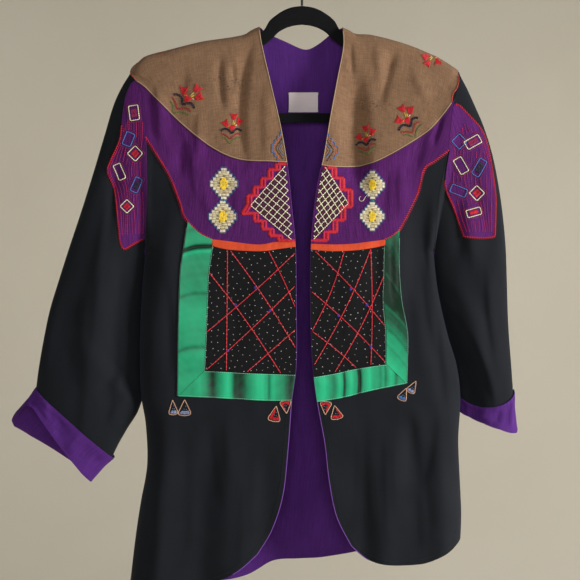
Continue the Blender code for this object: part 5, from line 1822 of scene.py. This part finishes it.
def make_hanger():
    """The flocked hanger: a flat loop with rounded edges, drawn from the solid's own sections."""
    half = fine(HANGER, 9)
    loop = np.vstack([half, half[-2:0:-1] * np.array([-1, 1, -1, 1])])
    turn = 2 * math.pi * np.arange(20) / 20
    across = 0.5 - 0.5 * np.sign(np.cos(turn)) * np.abs(np.cos(turn)) ** 0.45
    off = np.sign(np.sin(turn)) * np.abs(np.sin(turn)) ** 0.55
    place = loop[:, None, 2:] + (loop[:, None, :2] - loop[:, None, 2:]) * across[None, :, None]
    y = np.broadcast_to(off * HANGER_THICK / 2, place.shape[:2])
    points = np.stack([place[..., 0], y, place[..., 1]], axis=-1).reshape(-1, 3)
    faces = loop_faces(len(loop), len(turn))
    mesh = bpy.data.meshes.new("hanger")
    mesh.from_pydata((points * MM).tolist(), [], faces.tolist())
    mesh.uv_layers.new(name="cut")
    mesh.update()
    a, b, c, d = points[faces].transpose(1, 0, 2)
    if (a * np.cross(b, c) + a * np.cross(c, d)).sum() < 0:
        mesh.flip_normals()
    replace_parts(ready("hanger_flocked", mesh, [finish("black_flock")]), "hanger")


def make_hook():
    low = math.radians(-12)
    middle_z = HOOK_WIRE - HOOK_BEND
    bend = [(HOOK_BEND * math.cos(low + a), middle_z + HOOK_BEND * math.sin(low + a))
            for a in np.radians(np.linspace(0, HOOK_SWEEP, 15))]
    line = fine([(0, HOOK_FOOT), *HOOK_STEM, *bend], 6)
    path = np.stack([line[:, 0], np.zeros(len(line)), line[:, 1]], axis=1)
    piece = cords("hook_wire", [path], HOOK_WIRE, finish("black_wire"), sides=20, step=1.4)
    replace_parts(piece, "hook")


FLOOR_RADIUS, FLOOR_CURVE, WALL_TOP = 3.6, 1.6, 2.6


def make_studio():
    """A round studio: a flat floor that curves up into its wall."""
    profile = [(r, FLOOR_Z) for r in np.linspace(0, FLOOR_RADIUS, 10)]
    profile += [(FLOOR_RADIUS + FLOOR_CURVE * math.sin(a), FLOOR_Z + FLOOR_CURVE * (1 - math.cos(a)))
                for a in np.linspace(0, math.pi / 2, 14)[1:]]
    profile += [(FLOOR_RADIUS + FLOOR_CURVE, z) for z in (1.2, WALL_TOP)]
    count = 96
    vertices = [(r * math.cos(a), r * math.sin(a), z) for r, z in profile
                for a in np.linspace(0, 2 * math.pi, count, endpoint=False)]
    faces = [(i + j, i + (j + 1) % count, i + count + (j + 1) % count, i + count + j)
             for i in range(0, len(vertices) - count, count) for j in range(count)]
    mesh = bpy.data.meshes.new("pale_studio")
    mesh.from_pydata(vertices, [], faces)
    mesh.shade_smooth()
    mesh.materials.append(made_once("painted pale wall", mottle, 0.9, 0.0, "#ffffff", 0.2))
    studio = bpy.data.objects.new("pale_studio", mesh)
    bpy.context.scene.collection.objects.link(studio)


# Studio

PHOTO_X, PHOTO_Z, CAMERA_Y = -0.01644, -0.4613, -1.7
SEEN_WIDTH = 0.7946  # metres across the picture at the hanger
FLOOR_Z = -1.95
# Columns: name, place, what it is aimed at, size, share of the main light's power, colour.
LIGHTS = [
    ("window", (2.35, -1.05, -0.3), (0, 0, -0.45), 0.7, 1.04, (1.0, 0.99, 0.97)),
    ("front", (0.1, -2.6, -0.1), (0, 0, -0.4), 1.5, 0.26, (0.98, 0.99, 1.0)),
    ("fill", (-1.9, -1.7, 0.2), (0, 0, -0.45), 1.5, 0.05, (0.96, 0.98, 1.0)),
    ("wall", (1.1, 1.2, 0.2), (0.5, 4.8, -2.0), 2.2, 0.95, (1.0, 0.99, 0.95)),
]


def make_stage():
    scene, stage = bpy.context.scene, settings().stage
    camera = bpy.data.cameras.new("photo camera")
    camera.sensor_width = 36
    camera.lens = camera.sensor_width * -CAMERA_Y / SEEN_WIDTH
    camera.clip_start, camera.clip_end = 0.05, 30
    holder = bpy.data.objects.new("photo camera", camera)
    holder.location = (PHOTO_X, CAMERA_Y, PHOTO_Z)
    holder.rotation_euler = (math.pi / 2, 0, 0)
    scene.collection.objects.link(holder)
    scene.camera = holder
    scene.view_settings.view_transform = "Standard"
    for name, place, aim, size, share, colour in LIGHTS:
        lamp = bpy.data.lights.new(name, "AREA")
        lamp.size, lamp.energy, lamp.color = size, stage.key_power * share, colour
        lamp_holder = bpy.data.objects.new(name, lamp)
        lamp_holder.location = place
        lamp_holder.rotation_euler = (Vector(aim) - Vector(place)).to_track_quat("-Z", "Y").to_euler()
        scene.collection.objects.link(lamp_holder)
    world = bpy.data.worlds.new("soft sky")
    world.use_nodes = True
    shade = world.node_tree.nodes["Background"]
    shade.inputs["Color"].default_value = linear("#e6e2da")
    shade.inputs["Strength"].default_value = stage.sky
    scene.world = world
    make_studio()


# Properties

def length_property(label, about, value):
    return bpy.props.FloatProperty(name=label, description=about, default=value * MM, min=0, unit="LENGTH",
                                   subtype="DISTANCE", precision=5)


def colour_property(label, about, code):
    return bpy.props.FloatVectorProperty(name=label, description=about, default=linear(code), size=4, min=0,
                                         max=1, subtype="COLOR")


class JacketSizes(bpy.types.PropertyGroup):
    cotton_wall: length_property("Cotton", "Thickness of the black cotton", 1.2)
    applied_wall: length_property("Applied cloth", "Thickness of what is sewn on the fronts", 1.0)
    lining_wall: length_property("Lining", "Thickness of the lining and cuffs", 1.0)
    label_wall: length_property("Label", "Thickness of the label", 0.5)
    spangle_size: length_property("Dot", "Diameter of a sewn dot on the panels", 0.9)
    spangle_spacing: length_property("Dot spacing", "Least distance between two dots", 7.2)


class JacketColours(bpy.types.PropertyGroup):
    black: colour_property("Black cotton", "The washed black of fronts, back and sleeves", "#191d25")
    purple: colour_property("Purple cotton", "The pale slubs of the band", "#6c267c")
    lining: colour_property("Lining", "The pale slubs of the lining and cuffs", "#652f92")
    linen: colour_property("Linen", "The pale threads of the yoke", "#a37e5f")
    # The satin's green is the painted highlight on its ripples' crests. Its troughs take a painted shade of
    # #042a18.
    green: colour_property("Satin", "The lit bands of the satin", "#1cc088")
    orange: colour_property("Tape", "The orange tape", "#f55a2a")


class JacketStage(bpy.types.PropertyGroup):
    key_power: bpy.props.FloatProperty(name="Light", description="Power of the main soft light", default=72,
                                       min=0, unit="POWER")
    sky: bpy.props.FloatProperty(name="Sky", description="Strength of the light from all round", default=0.13,
                                 min=0)


class JacketSettings(bpy.types.PropertyGroup):
    sizes: bpy.props.PointerProperty(type=JacketSizes)
    colours: bpy.props.PointerProperty(type=JacketColours)
    stage: bpy.props.PointerProperty(type=JacketStage)


# Operators

class JACKET_OT_stage(bpy.types.Operator):
    """Sets up the camera, the soft lights and the pale studio"""
    bl_idname = "jacket.stage"
    bl_label = "Studio"

    def execute(self, context):
        make_stage()
        return {"FINISHED"}


class JACKET_OT_hanger(bpy.types.Operator):
    """Makes the flocked hanger and its wire hook"""
    bl_idname = "jacket.hanger"
    bl_label = "Hanger"

    def execute(self, context):
        make_hanger()
        make_hook()
        return {"FINISHED"}


class JACKET_OT_fronts(bpy.types.Operator):
    """Cuts the two black fronts"""
    bl_idname = "jacket.fronts"
    bl_label = "Fronts"

    def execute(self, context):
        make_fronts()
        return {"FINISHED"}


class JACKET_OT_back(bpy.types.Operator):
    """Cuts the back and its lining"""
    bl_idname = "jacket.back"
    bl_label = "Back and lining"

    def execute(self, context):
        make_back()
        make_lining()
        return {"FINISHED"}


class JACKET_OT_label(bpy.types.Operator):
    """Tacks the bare label on the lining"""
    bl_idname = "jacket.label"
    bl_label = "Label"

    def execute(self, context):
        make_label()
        tack_label()
        return {"FINISHED"}


class JACKET_OT_sleeves(bpy.types.Operator):
    """Makes the sleeves and their turned cuffs"""
    bl_idname = "jacket.sleeves"
    bl_label = "Sleeves and cuffs"

    def execute(self, context):
        make_sleeves()
        make_cuffs()
        return {"FINISHED"}


class JACKET_OT_yoke(bpy.types.Operator):
    """Lays the linen yoke over the shoulders and embroiders its sprigs"""
    bl_idname = "jacket.yoke"
    bl_label = "Yoke"

    def execute(self, context):
        make_yokes()
        embroider_yokes()
        return {"FINISHED"}


class JACKET_OT_band(bpy.types.Operator):
    """Lays the purple band and its orange tape and embroiders them"""
    bl_idname = "jacket.band"
    bl_label = "Band"

    def execute(self, context):
        make_bands()
        make_bindings()
        embroider_bands()
        return {"FINISHED"}


class JACKET_OT_panels(bpy.types.Operator):
    """Lays the black panels with their dots and couched lines"""
    bl_idname = "jacket.panels"
    bl_label = "Panels"

    def execute(self, context):
        make_panels()
        make_spangles()
        couch_panels()
        return {"FINISHED"}


class JACKET_OT_frames(bpy.types.Operator):
    """Lays the green satin frames, with the petals beneath them"""
    bl_idname = "jacket.frames"
    bl_label = "Satin frames"

    def execute(self, context):
        make_frames()
        edge_frames()
        embroider_petals()
        return {"FINISHED"}


class JACKET_OT_patches(bpy.types.Operator):
    """Lays and embroiders the sleeves' patches"""
    bl_idname = "jacket.patches"
    bl_label = "Patches"

    def execute(self, context):
        make_patches()
        embroider_patches()
        return {"FINISHED"}


class JACKET_OT_edges(bpy.types.Operator):
    """Adds the piping, the rolled lining edge and the topstitching"""
    bl_idname = "jacket.edges"
    bl_label = "Edges"

    def execute(self, context):
        pipe_edges()
        topstitch()
        return {"FINISHED"}


STEPS = ("stage", "hanger", "fronts", "back", "label", "sleeves", "yoke", "band", "panels", "frames",
         "patches", "edges")


class JACKET_PT_sidebar(bpy.types.Panel):
    """Sizes, colours and steps of the jacket"""
    bl_idname = "JACKET_PT_sidebar"
    bl_label = "Embroidered jacket"
    bl_space_type = "VIEW_3D"
    bl_region_type = "UI"
    bl_category = "Jacket"

    def draw(self, context):
        layout = self.layout
        jacket = context.scene.jacket
        for group in (jacket.sizes, jacket.colours, jacket.stage):
            box = layout.box()
            for name in group.__annotations__:
                box.prop(group, name)
        for step in STEPS:
            layout.operator(f"jacket.{step}")


CLASSES = (JacketSizes, JacketColours, JacketStage, JacketSettings, JACKET_OT_stage, JACKET_OT_hanger,
           JACKET_OT_fronts, JACKET_OT_back, JACKET_OT_label, JACKET_OT_sleeves, JACKET_OT_yoke,
           JACKET_OT_band, JACKET_OT_panels, JACKET_OT_frames, JACKET_OT_patches, JACKET_OT_edges,
           JACKET_PT_sidebar)


def register():
    for kind in CLASSES:
        bpy.utils.register_class(kind)
    bpy.types.Scene.jacket = bpy.props.PointerProperty(type=JacketSettings)


def unregister():
    del bpy.types.Scene.jacket
    for kind in reversed(CLASSES):
        bpy.utils.unregister_class(kind)


def main():
    register()
    for step in STEPS:
        getattr(bpy.ops.jacket, step)()


if __name__ == "__main__":
    main()
